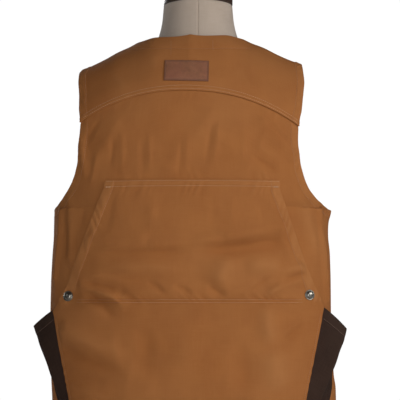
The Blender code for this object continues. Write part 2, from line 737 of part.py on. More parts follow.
def gusset(side, twill):
    """A gusset: sewn under the pouch's edge, folded outwards, and sewn to the body round at the side."""
    name, sign = side
    level = np.linspace(0, 1, 10)
    z = GUSSET_TOP_Z[name] + (GUSSET_BOTTOM_Z - GUSSET_TOP_Z[name]) * level
    edge = edge_across(name, z)
    under = pouch_height(sign * edge, z) - LAY_GAP - GUSSET_CLOTH / 2
    on_body = CANVAS + LAY_GAP + GUSSET_CLOTH / 2
    body = GUSSET_BODY_TOP + (GUSSET_BODY_BOTTOM - GUSSET_BODY_TOP) * level**GUSSET_BODY_CURVE
    tucked = round_body(sign * (edge - GUSSET_FLANGE), z, under)
    below_edge = round_body(sign * edge, z, under)
    leaving = round_body(sign * (edge + GUSSET_LEAVES), z, under)
    z_fore = z - GUSSET_FORE_DROP * (1 - level)
    meeting = round_body(sign * body, z_fore, on_body + 0 * z)
    flange = round_body(sign * (body + GUSSET_FLANGE), z_fore, on_body + 0 * z)
    middle = (leaving + meeting) / 2
    chord = meeting - leaving
    out = np.stack([chord[:, 1], -chord[:, 0], 0 * level], axis=-1) * sign
    out /= np.linalg.norm(out, axis=-1, keepdims=True)
    fold = middle.copy()
    fold[:, 2] -= GUSSET_DROP[name] * (1 - level)
    crease = smooth(GUSSET_CREASE, "z", name, fold[:, 2])
    fold += out * ((crease - np.abs(middle[:, 0])) / np.abs(out[:, 0]))[:, None]
    bulge = out * (GUSSET_BULGE * np.linalg.norm(fold - middle, axis=-1))[:, None]
    rear = [leaving + (fold - leaving) * t + bulge * t * (1 - t) for t in GUSSET_REAR]
    fore = [fold + (meeting - fold) * t + bulge * t * (1 - t) for t in GUSSET_FORE]
    layers = np.array([1, 1, 1, 0.5, 0, 0, 0]) * (GUSSET_CLOTH + LAY_GAP)
    loose = clear_of_body(np.stack([*rear, fold, *fore], axis=1), on_body + LAY_GAP + layers)
    sewn = [points[:, None] for points in (tucked, below_edge, leaving, meeting, flange)]
    sheet = np.concatenate([*sewn[:3], loose, *sewn[3:]], axis=1)
    normal = np.cross(np.gradient(sheet, axis=1), np.gradient(sheet, axis=0))
    normal /= np.linalg.norm(normal, axis=-1, keepdims=True)
    offset = normal * GUSSET_CLOTH / 2
    wall(f"gusset_{name}", sheet - offset, sheet + offset, twill)


def patch(leather):
    """The bare leather patch, laid on the yoke."""
    s, t = np.meshgrid(np.linspace(-0.5, 0.5, 9), np.linspace(-0.5, 0.5, 5))
    s, t = s * PATCH_WIDTH, t * PATCH_HEIGHT
    x = PATCH_CENTRE[0] + s * math.cos(PATCH_TILT) + t * math.sin(PATCH_TILT)
    z = PATCH_CENTRE[1] + t * math.cos(PATCH_TILT) - s * math.sin(PATCH_TILT)
    height = yoke_height(x, z) + CANVAS + LAY_GAP
    cloth_wall("patch", across_of(x, z), rise_to("back", x, z), height, PATCH_LEATHER, leather)


def turned(name, profile, sides, finish):
    """A solid turned about its Z axis from (radius, height) points, closed on the axis at both ends."""
    angles = np.arange(sides) * 2 * math.pi / sides
    rings = [[(r * math.cos(a), r * math.sin(a), z) for a in angles] for r, z in profile]
    vertices = [p for ring in rings for p in ring]
    faces = []
    for i in range(len(profile) - 1):
        for j in range(sides):
            k = (j + 1) % sides
            faces.append((i * sides + j, i * sides + k, (i + 1) * sides + k, (i + 1) * sides + j))
    faces.append(tuple(range(sides)))
    faces.append(tuple(range(len(vertices) - sides, len(vertices))))
    return finish_mesh(name, vertices, faces, finish, sharp=35)


def snap(name, place, direction, metal):
    """A domed snap cap standing on the cloth."""
    r, h = SNAP_RADIUS, SNAP_HEIGHT
    profile = ((0.93 * r, 0), (r, 0.22 * h), (0.94 * r, 0.42 * h), (0.70 * r, 0.78 * h), (0.25 * r, h))
    cap = turned(name, profile, SNAP_SIDES, metal)
    cap.location = Vector(place)
    cap.rotation_mode = "QUATERNION"
    cap.rotation_quaternion = Vector(direction).to_track_quat("Z", "Y")


def pouch_outside(x, z):
    across = across_of(x, z)
    return lay(across, z - HEM_Z, pouch_height(across, z) + CANVAS)


def snaps(metal):
    seat = CANVAS + LAY_GAP
    r = SNAP_RADIUS
    for name, (x, z) in POUCH_SNAPS.items():
        across = pouch_outside(x + r * 0.6, z) - pouch_outside(x - r * 0.6, z)
        up = pouch_outside(x, z + r) - pouch_outside(x, z - r)
        direction = np.cross(across, up)
        direction /= np.linalg.norm(direction)
        place = pouch_outside(x, z) + direction * SNAP_SEAT[name]
        snap(f"pouch_snap_{name}", place, direction, metal)
    for number, z in enumerate(FRONT_SNAP_Z, 1):
        up = BACK_LENGTH + FRONT_LENGTH - (z - HEM_Z)
        centre = np.array(0.0)
        snap(f"front_snap_{number}", lay(centre, up, 2 * seat), outward(centre, up), metal)


def vest_depth(face, x, z, clear):
    """How deep the vest's inside is at a place seen from the front, less a clearance. Negative outside it."""
    level = np.minimum(z, CAP_Z[face])
    shoulder = shoulder_height(np.sign(x) * np.maximum(np.abs(x), FORM_LEVEL_HALF))
    share = np.clip(np.abs(x) / half_width(x, level), 0, 1)
    depth = smooth(TORSO, "z", face, level) * (1 - share**SECTION_POWER) ** (1 / SECTION_POWER)
    up_share = (z + clear - CAP_Z[face]) / (shoulder - CAP_Z[face])
    curve = np.sqrt(np.clip(1 - np.clip(up_share, 0, 2) ** 2, 0, 1))
    return np.where(up_share < 1, depth * curve - clear, -1.0)


def form_radius(direction, z):
    """How far the dress form reaches from its axis at a height, in each direction."""
    across, ahead = np.sin(direction), -np.cos(direction)
    low, high = np.zeros_like(direction), np.full_like(direction, 0.4)
    for _ in range(40):
        r = (low + high) / 2
        x, y = r * across, r * ahead
        clear = FORM_CLEAR + FORM_CLEAR_GROWTH * (shoulder_height(x) - z)
        clear = np.clip(clear, FORM_CLEAR, FORM_CLEAR_MOST)
        within = (-vest_depth("back", x, z, clear) < y) & (y < vest_depth("front", x, z, clear))
        low, high = np.where(within, r, low), np.where(within, high, r)
    half, behind, in_front, power = (smooth(FORM, "z", name, z) for name in "half back front power".split())
    depth = np.where(ahead < 0, behind, in_front)
    core = ((np.abs(across) / half) ** power + (np.abs(ahead) / depth) ** power) ** (-1 / power)
    torso = (np.maximum(low, 1e-4) ** -16.0 + core**-16.0) ** (-1 / 16)
    neck = smooth(FORM_NECK, "z", "radius", z)
    shift = NECK_SHIFT * across
    neck = shift + np.sqrt(neck**2 - NECK_SHIFT**2 + shift**2)
    if z < FORM_NECK["z"][0]:
        return torso
    return (torso**24 + neck**24) ** (1 / 24)


def form_body(linen):
    """The form: torso, shoulders and neck in one closed surface."""
    direction = np.arange(FORM_SIDES) * 2 * math.pi / FORM_SIDES
    rings = []
    for z in FORM_RINGS_Z:
        radius = form_radius(direction, z)
        if z == FORM_BOTTOM_Z:
            radius = radius - FORM_EDGE_ROUNDING
        ring = (radius * np.sin(direction), -radius * np.cos(direction), 0 * radius + z)
        rings.append(np.stack(ring, axis=-1))
    vertices = np.concatenate(rings)
    faces = []
    for i in range(len(rings) - 1):
        for j in range(FORM_SIDES):
            k = (j + 1) % FORM_SIDES
            a, b = i * FORM_SIDES, (i + 1) * FORM_SIDES
            faces.append((a + j, a + k, b + k, b + j))
    faces.append(tuple(range(FORM_SIDES)))
    faces.append(tuple(range(len(vertices) - FORM_SIDES, len(vertices))))
    finish_mesh("form_body", vertices, faces, linen, sharp=50)


def stand(wood, steel):
    """The neck cap, and the pole and base that the form stands on."""
    r, h = CAP_RADIUS, CAP_HEIGHT
    profile = ((0.94 * r, 0), (r, 0.12 * h), (r, 0.5 * h), (0.93 * r, 0.72 * h))
    profile += ((0.7 * r, 0.9 * h), (0.3 * r, h))
    cap = turned("neck_cap", profile, TURNED_SIDES, wood)
    cap.location = (NECK_SHIFT, 0, NECK_TOP_Z + SEAM_GAP)
    pole_top = FORM_BOTTOM_Z - BASE_HEIGHT - 2 * SEAM_GAP
    pole = turned("pole", ((POLE_RADIUS, 0), (POLE_RADIUS, pole_top)), 20, steel)
    pole.location = (0, 0, BASE_HEIGHT + SEAM_GAP)
    r, h = BASE_RADIUS, BASE_HEIGHT
    profile = ((0.985 * r, 0), (r, 0.15 * h), (r, 0.6 * h), (0.97 * r, 0.85 * h), (0.9 * r, h))
    turned("base", profile, TURNED_SIDES, wood)


def main():
    for thing in list(bpy.data.objects):
        bpy.data.objects.remove(thing)
    canvas = material("tan_canvas", (0.34, 0.15, 0.055), 0.85)
    twill = material("dark_brown_twill", (0.035, 0.018, 0.014), 0.8)
    leather = material("brown_leather", (0.25, 0.10, 0.06), 0.6)
    metal = material("aged_nickel", (0.20, 0.18, 0.15), 0.3, 1.0)
    linen = material("linen", (0.42, 0.35, 0.29), 0.9)
    wood = material("dark_wood", (0.04, 0.022, 0.014), 0.45)
    steel = material("steel", (0.30, 0.30, 0.30), 0.35, 1.0)
    back_panel(canvas)
    yoke(canvas)
    for side in (("left", -1), ("right", 1)):
        front_panel(side, canvas)
        gusset(side, twill)
    pouch_panel(canvas)
    patch(leather)
    snaps(metal)
    form_body(linen)
    stand(wood, steel)


main()
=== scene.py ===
"""The looks of a duck-canvas game vest on a limbless dress form.

Metres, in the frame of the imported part: +Z is up, +Y is the vest's front and +X the wearer's right. The cloth is laid
over the same surface as the solids: `across` is the angle from the centre line to the side seam, and `up` is the
distance up the cloth from the back hem, over the shoulder line and down the front.
"""

import math

import bmesh
import bpy
import numpy as np
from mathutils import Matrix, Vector

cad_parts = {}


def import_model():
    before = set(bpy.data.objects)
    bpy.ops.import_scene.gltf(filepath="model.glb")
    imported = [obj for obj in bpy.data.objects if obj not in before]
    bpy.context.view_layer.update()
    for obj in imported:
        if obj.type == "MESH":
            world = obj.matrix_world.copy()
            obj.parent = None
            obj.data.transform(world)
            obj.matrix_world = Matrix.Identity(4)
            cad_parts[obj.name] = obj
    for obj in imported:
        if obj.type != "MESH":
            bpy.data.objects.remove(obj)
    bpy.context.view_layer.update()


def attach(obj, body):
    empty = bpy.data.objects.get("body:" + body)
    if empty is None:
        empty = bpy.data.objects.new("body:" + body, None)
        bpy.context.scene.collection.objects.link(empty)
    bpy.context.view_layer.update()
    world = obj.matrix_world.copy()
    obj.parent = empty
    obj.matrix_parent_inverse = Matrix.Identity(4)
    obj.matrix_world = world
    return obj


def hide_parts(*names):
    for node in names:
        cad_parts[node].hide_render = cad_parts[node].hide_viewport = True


# Cloth
CANVAS = 0.0014
LAY_GAP = 0.0006
SEAM_GAP = 0.0003
YOKE_LAP = 0.012
GUSSET_CLOTH = 0.0012

# Heights
HEM_Z = 0.150
ARMHOLE_Z = 0.568
NECKLINE_DEPTH = 0.068
NECK_HALF = 0.087
SHOULDER_TILT = 0.0320
SHOULDER_SEAM = 0.012
ARMHOLE_RISE = ARMHOLE_Z - HEM_Z
CAP_Z = {"back": 0.640, "front": 0.600}
CAP_LENGTH = {"back": 0.260, "front": 0.270}
BACK_LENGTH = CAP_Z["back"] - HEM_Z + CAP_LENGTH["back"]
FRONT_LENGTH = CAP_Z["front"] - HEM_Z + CAP_LENGTH["front"]
SECTION_POWER = 2.35

# Yoke seam
YOKE_PEAK_Z = 0.7325
YOKE_FALL = 0.0430
YOKE_END = 0.1536
YOKE_TILT = 0.0037
YOKE_CURVE = 2.2
YOKE_SETTLE = 0.030

# Front closure
FRONT_OVERLAP = 0.018
OVERLAP_RAMP = (0.024, 0.052)
RAISED_BELOW_Z = 0.700
FRONT_SNAP_Z = (0.185, 0.278, 0.371, 0.464, 0.557)
FRONT_TOP_Z = 0.8196

# Pouch and gussets
POUCH_TOP_Z = 0.6045
POUCH_SNAPS = {"left": (-0.1708, 0.4404), "right": (0.1668, 0.4423)}
GUSSET_TOP_Z = {"left": 0.4225, "right": 0.4250}
GUSSET_BOTTOM_Z = 0.228
GUSSET_FLANGE = math.radians(2.6)
GUSSET_LEAVES = math.radians(0.5)
GUSSET_BODY_TOP = math.radians(99)
GUSSET_BODY_BOTTOM = math.radians(51)
GUSSET_BODY_CURVE = 0.8
GUSSET_FORE_DROP = 0.006
GUSSET_DROP = {"left": 0.0229, "right": 0.0295}
GUSSET_BULGE = 0.16

# Patch
PATCH_WIDTH = 0.063
PATCH_HEIGHT = 0.0325
PATCH_CENTRE = (-0.0054, 0.7622)
PATCH_LEATHER = 0.0012
PATCH_TILT = math.radians(1.5)

# Snaps
SNAP_RADIUS = 0.0075
SNAP_HEIGHT = 0.0036
SNAP_TILT = 0.34
SNAP_TILT_REACH = 0.016
SNAP_METRES_PER_DEGREE = 0.0024
MOUTH_OUT = {"left": 0.0002, "right": -0.0016}
MOUTH_IN = {"left": 0.0006, "right": -0.0020}
MOUTH_IN_FROM = 0.0185
MOUTH_REACH = 0.0095

# Dress form and stand
NECK_SHIFT = 0.011
NECK_TOP_Z = 0.8795
FORM_BOTTOM_Z = 0.100
FORM_CLEAR = 0.0012
FORM_LEVEL_HALF = 0.100
FORM_CLEAR_GROWTH = 0.014
FORM_CLEAR_MOST = 0.004
CAP_RADIUS = 0.0525
CAP_HEIGHT = 0.024
POLE_RADIUS = 0.014
BASE_RADIUS = 0.160
BASE_HEIGHT = 0.016

# Sewing
ARMHOLE_HEM = 0.0105
SLANT_HEM = 0.0125
YOKE_ROWS = (0.0022, 0.0070)
POUCH_TOP_ROWS = (0.0014, 0.0088)
POUCH_LOW_ROWS = (0.4357, 0.4315)
POUCH_LOW_CLEAR = ((-0.044, 0.100), (-0.095, 0.150))
BOTTOM_HEM = 0.020
GUSSET_HEM = 0.0165
SIDE_SEAM_HEM = 0.0090
SIDE_SEAM_ROWS = (0.0022, 0.0088)
SIDE_SEAM_RADIUS = 0.165  # turns an angle from the side seam into a distance from it
SIDE_SEAM_FADE = math.radians(8)  # folds die out this near the side seams
FRONT_ROWS = (0.0025, 0.0092)
SHOULDER_ROWS = (0.0022, 0.0078)
FACING_Z = 0.7980
FACING_RISE = 0.0076
FACING_REACH = 0.089
FACING_HALF = 0.094
PATCH_INSET = 0.0021
MOUTH_Z = 0.430  # the pouch's sides are open from here up
SEWN_Z = 0.418  # and sewn down from here to the hem
STITCH_PITCH = 0.0031
THREAD_RADIUS = 0.00033

SIDES = (("left", -1), ("right", 1))


def table(columns, rows):
    """A table's columns by name."""
    return dict(zip(columns.split(), np.array(rows, float).T))


TORSO = table(
    "z left right back front",
    (
        (0.150, 0.2010, 0.2150, 0.1220, 0.1280),
        (0.287, 0.2031, 0.2138, 0.1203, 0.1289),
        (0.306, 0.2043, 0.2134, 0.1200, 0.1290),
        (0.326, 0.2052, 0.2106, 0.1199, 0.1290),
        (0.415, 0.2071, 0.2073, 0.1195, 0.1290),
        (0.461, 0.2065, 0.2073, 0.1200, 0.1292),
        (0.500, 0.2048, 0.2064, 0.1210, 0.1295),
        (0.533, 0.2028, 0.2040, 0.1224, 0.1298),
        (0.568, 0.2026, 0.2050, 0.1240, 0.1300),
        (0.600, 0.2026, 0.2026, 0.1260, 0.1300),
        (0.640, 0.2026, 0.2026, 0.1280, 0.1300),
    ),
)
SHOULDER = table(
    "x z",
    (
        (0.000, 0.8550),
        (0.050, 0.8415),
        (0.075, 0.8262),
        (0.087, 0.8196),
        (0.108, 0.8108),
        (0.130, 0.7992),
        (0.150, 0.7902),
        (0.166, 0.7842),
        (0.210, 0.7600),
    ),
)
ARMHOLE = {
    "back": table(
        "z left right",
        (
            (0.568, 0.2026, 0.2050),
            (0.574, 0.1930, 0.1910),
            (0.580, 0.1872, 0.1830),
            (0.587, 0.1816, 0.1766),
            (0.594, 0.1761, 0.1712),
            (0.608, 0.1683, 0.1644),
            (0.622, 0.1637, 0.1599),
            (0.636, 0.1608, 0.1569),
            (0.665, 0.1590, 0.1543),
            (0.694, 0.1577, 0.1560),
            (0.709, 0.1595, 0.1599),
            (0.740, 0.1626, 0.1648),
            (0.757, 0.1648, 0.1668),
            (0.770, 0.1652, 0.1664),
            (0.777, 0.1630, 0.1662),
            (0.788, 0.1595, 0.1660),
        ),
    ),
    "front": table(
        "z left right",
        (
            (0.568, 0.2026, 0.2050),
            (0.576, 0.1880, 0.1880),
            (0.590, 0.1700, 0.1700),
            (0.615, 0.1550, 0.1550),
            (0.650, 0.1480, 0.1480),
            (0.700, 0.1490, 0.1490),
            (0.745, 0.1550, 0.1570),
            (0.788, 0.1590, 0.1660),
        ),
    ),
}
FRONT_EDGE = table(
    "z x",
    (
        (0.150, -0.0180),
        (0.590, -0.0180),
        (0.612, -0.0120),
        (0.700, 0.0320),
        (0.780, 0.0710),
        (FRONT_TOP_Z, 0.0870),
    ),
)
POUCH_EDGE = table(
    "z left right",
    (
        (0.150, 0.1437, 0.1355),
        (0.291, 0.1674, 0.1600),
        (0.373, 0.1813, 0.1743),
        (0.4090, 0.1872, 0.1812),
        (0.4185, 0.1901, 0.1830),
        (0.4277, 0.1862, 0.1863),
        (0.4522, 0.1751, 0.1764),
        (0.4675, 0.1696, 0.1702),
        (0.504, 0.1564, 0.1566),
        (0.593, 0.1216, 0.1257),
        (0.6045, 0.1190, 0.1259),
    ),
)
GUSSET_CREASE = table(
    "z left right",
    (
        (0.228, 0.1628, 0.1644),
        (0.251, 0.1708, 0.1714),
        (0.287, 0.1834, 0.1832),
        (0.304, 0.1908, 0.1914),
        (0.322, 0.1988, 0.2000),
        (0.339, 0.2060, 0.2076),
        (0.357, 0.2138, 0.2155),
        (0.375, 0.2219, 0.2235),
        (0.3836, 0.2257, 0.2266),
        (0.3925, 0.2295, 0.2298),
        (0.3966, 0.2313, 0.2312),
    ),
)
POUCH_LIFT = table(
    "z centre edge",
    (
        (0.150, 0.0002, 0.0002),
        (0.200, 0.0060, 0.0024),
        (0.300, 0.0150, 0.0050),
        (0.395, 0.0110, 0.0085),
        (0.4185, 0.0080, 0.0080),
        (0.4277, 0.0070, 0.0055),
        (0.4400, 0.0064, 0.0024),
        (0.4522, 0.0064, 0.0016),
        (0.480, 0.0080, 0.0022),
        (0.560, 0.0060, 0.0024),
        (0.590, 0.0020, 0.0010),
        (0.6045, 0.0002, 0.0002),
    ),
)
# Soft folds: the angle across in degrees and the height of both ends, half width, and how far out each goes
FOLD_COLUMNS = "angle_a z_a angle_b z_b width height"
FOLDS = {
    "back": table(
        FOLD_COLUMNS,
        (
            (-36, 0.640, -28, 0.680, 0.011, 0.0014),
            (-45, 0.622, -47, 0.655, 0.010, 0.0026),
            (43, 0.640, 27, 0.688, 0.011, 0.0028),
            (-6, 0.624, 6, 0.700, 0.010, 0.0016),
            (20, 0.628, 8, 0.668, 0.010, 0.0016),
            (-70, 0.470, -66, 0.560, 0.011, 0.0040),
            (-56, 0.500, -57, 0.575, 0.009, 0.0026),
            (72, 0.440, 64, 0.565, 0.011, 0.0040),
        ),
    ),
    "front": table(
        FOLD_COLUMNS,
        (
            (-60, 0.180, -66, 0.470, 0.016, 0.0060),
            (-34, 0.160, -38, 0.400, 0.018, 0.0045),
            (58, 0.170, 64, 0.500, 0.016, 0.0060),
            (33, 0.160, 30, 0.370, 0.018, 0.0045),
            (-40, 0.590, -20, 0.480, 0.014, 0.0035),
            (41, 0.600, 22, 0.470, 0.014, 0.0035),
            (-61, 0.300, -66, 0.540, 0.012, 0.0035),
            (60, 0.330, 66, 0.545, 0.012, 0.0035),
        ),
    ),
    "pouch": table(
        FOLD_COLUMNS,
        (
            (-31, 0.512, -12, 0.512, 0.0080, 0.0020),
            (-12, 0.513, 12, 0.522, 0.0085, 0.0030),
            (12, 0.525, 36, 0.542, 0.0120, 0.0046),
            (-40, 0.522, -16, 0.520, 0.012, 0.0022),
            (10, 0.528, 33, 0.545, 0.011, 0.0030),
            (-44, 0.455, -27, 0.441, 0.009, 0.0034),
            (-20, 0.446, -4, 0.452, 0.009, 0.0026),
            (12, 0.446, 22, 0.456, 0.009, 0.0030),
            (30, 0.448, 47, 0.478, 0.009, 0.0036),
            (-52, 0.385, -20, 0.335, 0.020, 0.0040),
            (-20, 0.335, 10, 0.325, 0.022, 0.0030),
            (50, 0.350, 30, 0.362, 0.018, 0.0016),
            (40, 0.230, 20, 0.300, 0.022, 0.0030),
            (-38, 0.220, -12, 0.250, 0.022, 0.0030),
        ),
    ),
}
METRES_PER_DEGREE = 0.0037
EDGE_GUESS = 0.16
FLARE = 0.0042
FLARE_REACH = 0.011
FLARE_FROM = (math.radians(78), math.radians(87))
FORM = table(
    "z half back front power",
    (
        (0.100, 0.166, 0.104, 0.098, 2.3),
        (0.180, 0.172, 0.110, 0.106, 2.3),
        (0.260, 0.172, 0.110, 0.110, 2.3),
        (0.350, 0.163, 0.101, 0.107, 2.3),
        (0.440, 0.156, 0.094, 0.104, 2.3),
        (0.520, 0.163, 0.104, 0.112, 2.3),
        (0.590, 0.167, 0.118, 0.120, 2.5),
        (0.640, 0.156, 0.124, 0.120, 3.2),
        (0.665, 0.152, 0.124, 0.120, 3.8),
        (0.720, 0.150, 0.124, 0.114, 4.6),
        (0.860, 0.150, 0.124, 0.110, 4.6),
    ),
)
FORM_NECK = table(
    "z radius",
    (
        (0.760, 0.0700),
        (0.819, 0.0640),
        (0.828, 0.0612),
        (0.836, 0.0586),
        (0.845, 0.0562),
        (0.858, 0.0540),
        (0.8795, 0.0521),
    ),
)

# Creases that the solids leave out: x and z of three points, half width, and how far out (or in) each goes
CREASE_COLUMNS = "x_a z_a x_b z_b x_c z_c width height"
CREASES = {
    "back": table(
        CREASE_COLUMNS,
        (
            (-0.0678, 0.6664, -0.0677, 0.6352, -0.0676, 0.6070, 0.0040, -0.0009),
            (-0.0594, 0.6777, -0.0564, 0.6463, -0.0592, 0.6097, 0.0040, 0.0009),
            (-0.0128, 0.6630, -0.0142, 0.6348, -0.0170, 0.6066, 0.0032, -0.0011),
            (-0.0029, 0.6744, -0.0043, 0.6390, -0.0057, 0.6066, 0.0040, 0.0009),
            (0.0323, 0.6918, 0.0266, 0.6574, 0.0196, 0.6179, 0.0038, -0.0011),
            (0.0450, 0.7036, 0.0379, 0.6603, 0.0322, 0.6151, 0.0050, 0.0011),
            (-0.1107, 0.6705, -0.1104, 0.6476, -0.1147, 0.6194, 0.0040, -0.0013),
            (-0.0994, 0.6846, -0.0961, 0.6471, -0.0989, 0.6132, 0.0045, 0.0010),
            (0.0815, 0.6439, 0.1043, 0.6290, 0.1330, 0.6101, 0.0045, -0.0024),
            (0.0873, 0.6582, 0.1129, 0.6434, 0.1389, 0.6261, 0.0050, 0.0016),
            (0.0957, 0.6216, 0.1099, 0.6107, 0.1214, 0.6054, 0.0035, 0.0010),
            (0.0704, 0.6924, 0.0759, 0.6608, 0.0702, 0.6254, 0.0050, 0.0008),
            (0.1104, 0.6850, 0.1015, 0.6615, 0.0957, 0.6387, 0.0045, 0.0008),
            (-0.1515, 0.6497, -0.1400, 0.6779, -0.1229, 0.7005, 0.0060, -0.0016),
            (-0.1809, 0.5725, -0.1785, 0.5288, -0.1800, 0.4638, 0.0060, -0.0012),
            (-0.1679, 0.5818, -0.1692, 0.5285, -0.1718, 0.4709, 0.0036, 0.0014),
            (-0.1512, 0.5838, -0.1541, 0.5566, -0.1600, 0.5238, 0.0040, -0.0012),
            (-0.1337, 0.6486, -0.1365, 0.6202, -0.1453, 0.5921, 0.0040, 0.0012),
            (0.1560, 0.5960, 0.1707, 0.5370, 0.1868, 0.4816, 0.0110, 0.0042),
            (0.1839, 0.5583, 0.1900, 0.5075, 0.1944, 0.4496, 0.0040, 0.0016),
            (0.1448, 0.6493, 0.1476, 0.6180, 0.1565, 0.5897, 0.0040, 0.0010),
        ),
    ),
    "front": table(
        CREASE_COLUMNS,
        (
            (-0.150, 0.570, -0.120, 0.550, -0.080, 0.540, 0.0045, 0.0010),
            (0.150, 0.572, 0.118, 0.548, 0.085, 0.536, 0.0045, 0.0010),
            (-0.100, 0.720, -0.095, 0.670, -0.105, 0.620, 0.0060, 0.0008),
            (0.104, 0.730, 0.096, 0.680, 0.100, 0.630, 0.0060, 0.0008),
            (-0.060, 0.420, -0.100, 0.400, -0.140, 0.404, 0.0050, 0.0010),
            (0.050, 0.390, 0.096, 0.372, 0.138, 0.380, 0.0050, 0.0010),
            (-0.080, 0.200, -0.085, 0.260, -0.078, 0.330, 0.0055, -0.0010),
            (0.086, 0.190, 0.090, 0.250, 0.082, 0.320, 0.0055, -0.0010),
        ),
    ),
    "pouch": table(
        CREASE_COLUMNS,
        (
            (0.0000, 0.5040, 0.0773, 0.5090, 0.1524, 0.5210, 0.0110, -0.0068),
            (-0.1415, 0.5010, -0.0691, 0.5015, 0.0200, 0.5030, 0.0055, -0.0024),
            (-0.1443, 0.4800, -0.0746, 0.4810, 0.0083, 0.4790, 0.0100, 0.0030),
            (0.0570, 0.5000, 0.0460, 0.4772, 0.0330, 0.4519, 0.0140, 0.0044),
            (0.0721, 0.4840, 0.1034, 0.4840, 0.1328, 0.4860, 0.0120, 0.0046),
            (-0.1595, 0.4604, -0.1245, 0.4542, -0.0883, 0.4425, 0.0045, -0.0036),
            (-0.1471, 0.4718, -0.1134, 0.4656, -0.0773, 0.4557, 0.0050, 0.0014),
            (-0.1527, 0.4478, -0.1272, 0.4323, -0.0993, 0.4084, 0.0060, -0.0042),
            (-0.1385, 0.4502, -0.1077, 0.4391, -0.0800, 0.4166, 0.0060, 0.0034),
            (-0.0613, 0.4609, -0.0443, 0.4519, -0.0360, 0.4407, 0.0040, -0.0026),
            (-0.0254, 0.4567, -0.0056, 0.4477, 0.0028, 0.4379, 0.0042, -0.0026),
            (0.0217, 0.4539, 0.0387, 0.4463, 0.0442, 0.4365, 0.0040, -0.0024),
            (0.0800, 0.4435, 0.0966, 0.4576, 0.1146, 0.4690, 0.0042, -0.0026),
            (0.0993, 0.4379, 0.1145, 0.4492, 0.1326, 0.4577, 0.0055, 0.0028),
            (0.1259, 0.4610, 0.1451, 0.4677, 0.1651, 0.4736, 0.0045, -0.0036),
            (0.1203, 0.4751, 0.1437, 0.4805, 0.1651, 0.4907, 0.0060, 0.0034),
            (0.1410, 0.4549, 0.1522, 0.4521, 0.1650, 0.4536, 0.0030, -0.0014),
            (0.1467, 0.5046, 0.1552, 0.4906, 0.1651, 0.4736, 0.0032, -0.0015),
            (-0.2003, 0.4014, -0.1465, 0.3811, -0.0880, 0.3620, 0.0100, 0.0034),
            (-0.1970, 0.3744, -0.1408, 0.3511, -0.0769, 0.3323, 0.0100, -0.0044),
            (-0.1747, 0.3155, -0.1432, 0.3084, -0.1070, 0.2953, 0.0090, 0.0015),
            (0.1043, 0.4360, 0.1053, 0.4000, 0.1100, 0.3650, 0.0110, 0.0054),
            (0.1083, 0.3720, 0.1147, 0.3370, 0.1210, 0.2980, 0.0180, 0.0066),
            (0.0721, 0.3831, 0.0707, 0.3482, 0.0774, 0.2968, 0.0140, -0.0036),
            (0.1281, 0.3758, 0.1421, 0.3883, 0.1548, 0.3995, 0.0060, -0.0034),
            (0.1380, 0.4181, 0.1520, 0.4095, 0.1690, 0.4036, 0.0040, 0.0014),
            (-0.0552, 0.4099, -0.0605, 0.3653, -0.0549, 0.3126, 0.0140, -0.0030),
            (-0.0139, 0.4127, -0.0083, 0.3723, -0.0137, 0.3169, 0.0160, 0.0012),
            (-0.1076, 0.4041, -0.1019, 0.3720, -0.0907, 0.3400, 0.0080, 0.0014),
            (-0.1080, 0.5822, -0.1107, 0.5552, -0.1191, 0.5228, 0.0050, -0.0009),
            (-0.0554, 0.5870, -0.0526, 0.5545, -0.0609, 0.5223, 0.0060, 0.0008),
            (0.0222, 0.5896, 0.0332, 0.5559, 0.0277, 0.5278, 0.0060, -0.0007),
            (0.0635, 0.5871, 0.0580, 0.5560, 0.0663, 0.5307, 0.0060, 0.0008),
            (0.0911, 0.5817, 0.0994, 0.5565, 0.0966, 0.5338, 0.0045, -0.0009),
            (0.1216, 0.5541, 0.1286, 0.5458, 0.1369, 0.5331, 0.0035, -0.0020),
            (0.1133, 0.5680, 0.1258, 0.5641, 0.1384, 0.5659, 0.0030, -0.0010),
            (-0.0400, 0.2600, 0.0000, 0.2700, 0.0500, 0.2560, 0.0100, -0.0010),
        ),
    ),
    "yoke": table(
        CREASE_COLUMNS,
        (
            (-0.120, 0.770, -0.100, 0.748, -0.094, 0.726, 0.0060, 0.0005),
            (0.062, 0.776, 0.078, 0.752, 0.090, 0.728, 0.0070, 0.0004),
            (-0.060, 0.796, -0.052, 0.782, -0.050, 0.760, 0.0050, 0.0003),
        ),
    ),
}


def smooth(rows, key, value, at):
    """The table's `value` column at `at` in its `key` column, on a smooth curve that never overshoots its rows."""
    x, y = rows[key], rows[value]
    at = np.clip(at, x[0], x[-1])
    step = np.diff(x)
    slope = np.diff(y) / step
    tangent = np.zeros_like(y)
    tangent[0], tangent[-1] = slope[0], slope[-1]
    same_way = slope[:-1] * slope[1:] > 0
    both = np.where(same_way, slope[:-1] + slope[1:], 1.0)
    tangent[1:-1] = np.where(same_way, 2 * slope[:-1] * slope[1:] / both, 0.0)
    i = np.clip(np.searchsorted(x, at, side="right") - 1, 0, len(step) - 1)
    t = (at - x[i]) / step[i]
    left = (2 * t**3 - 3 * t**2 + 1) * y[i] + (t**3 - 2 * t**2 + t) * step[i] * tangent[i]
    right = (3 * t**2 - 2 * t**3) * y[i + 1] + (t**3 - t**2) * step[i] * tangent[i + 1]
    return left + right


def straight(rows, key, value, at):
    """The same, in straight lines from row to row."""
    return np.interp(at, rows[key], rows[value])


def ease(t):
    """Goes smoothly from 0 to 1 as t does."""
    t = np.clip(t, 0, 1)
    return t * t * (3 - 2 * t)


def signed_power(value, power):
    return np.sign(value) * np.abs(value) ** power


def shoulder_height(x):
    return smooth(SHOULDER, "x", "z", np.abs(x)) + SHOULDER_TILT * x


def half_width(side, z):
    """The vest's half width at a height, on the wearer's left where `side` is negative."""
    return np.where(np.asarray(side) < 0, smooth(TORSO, "z", "left", z), smooth(TORSO, "z", "right", z))


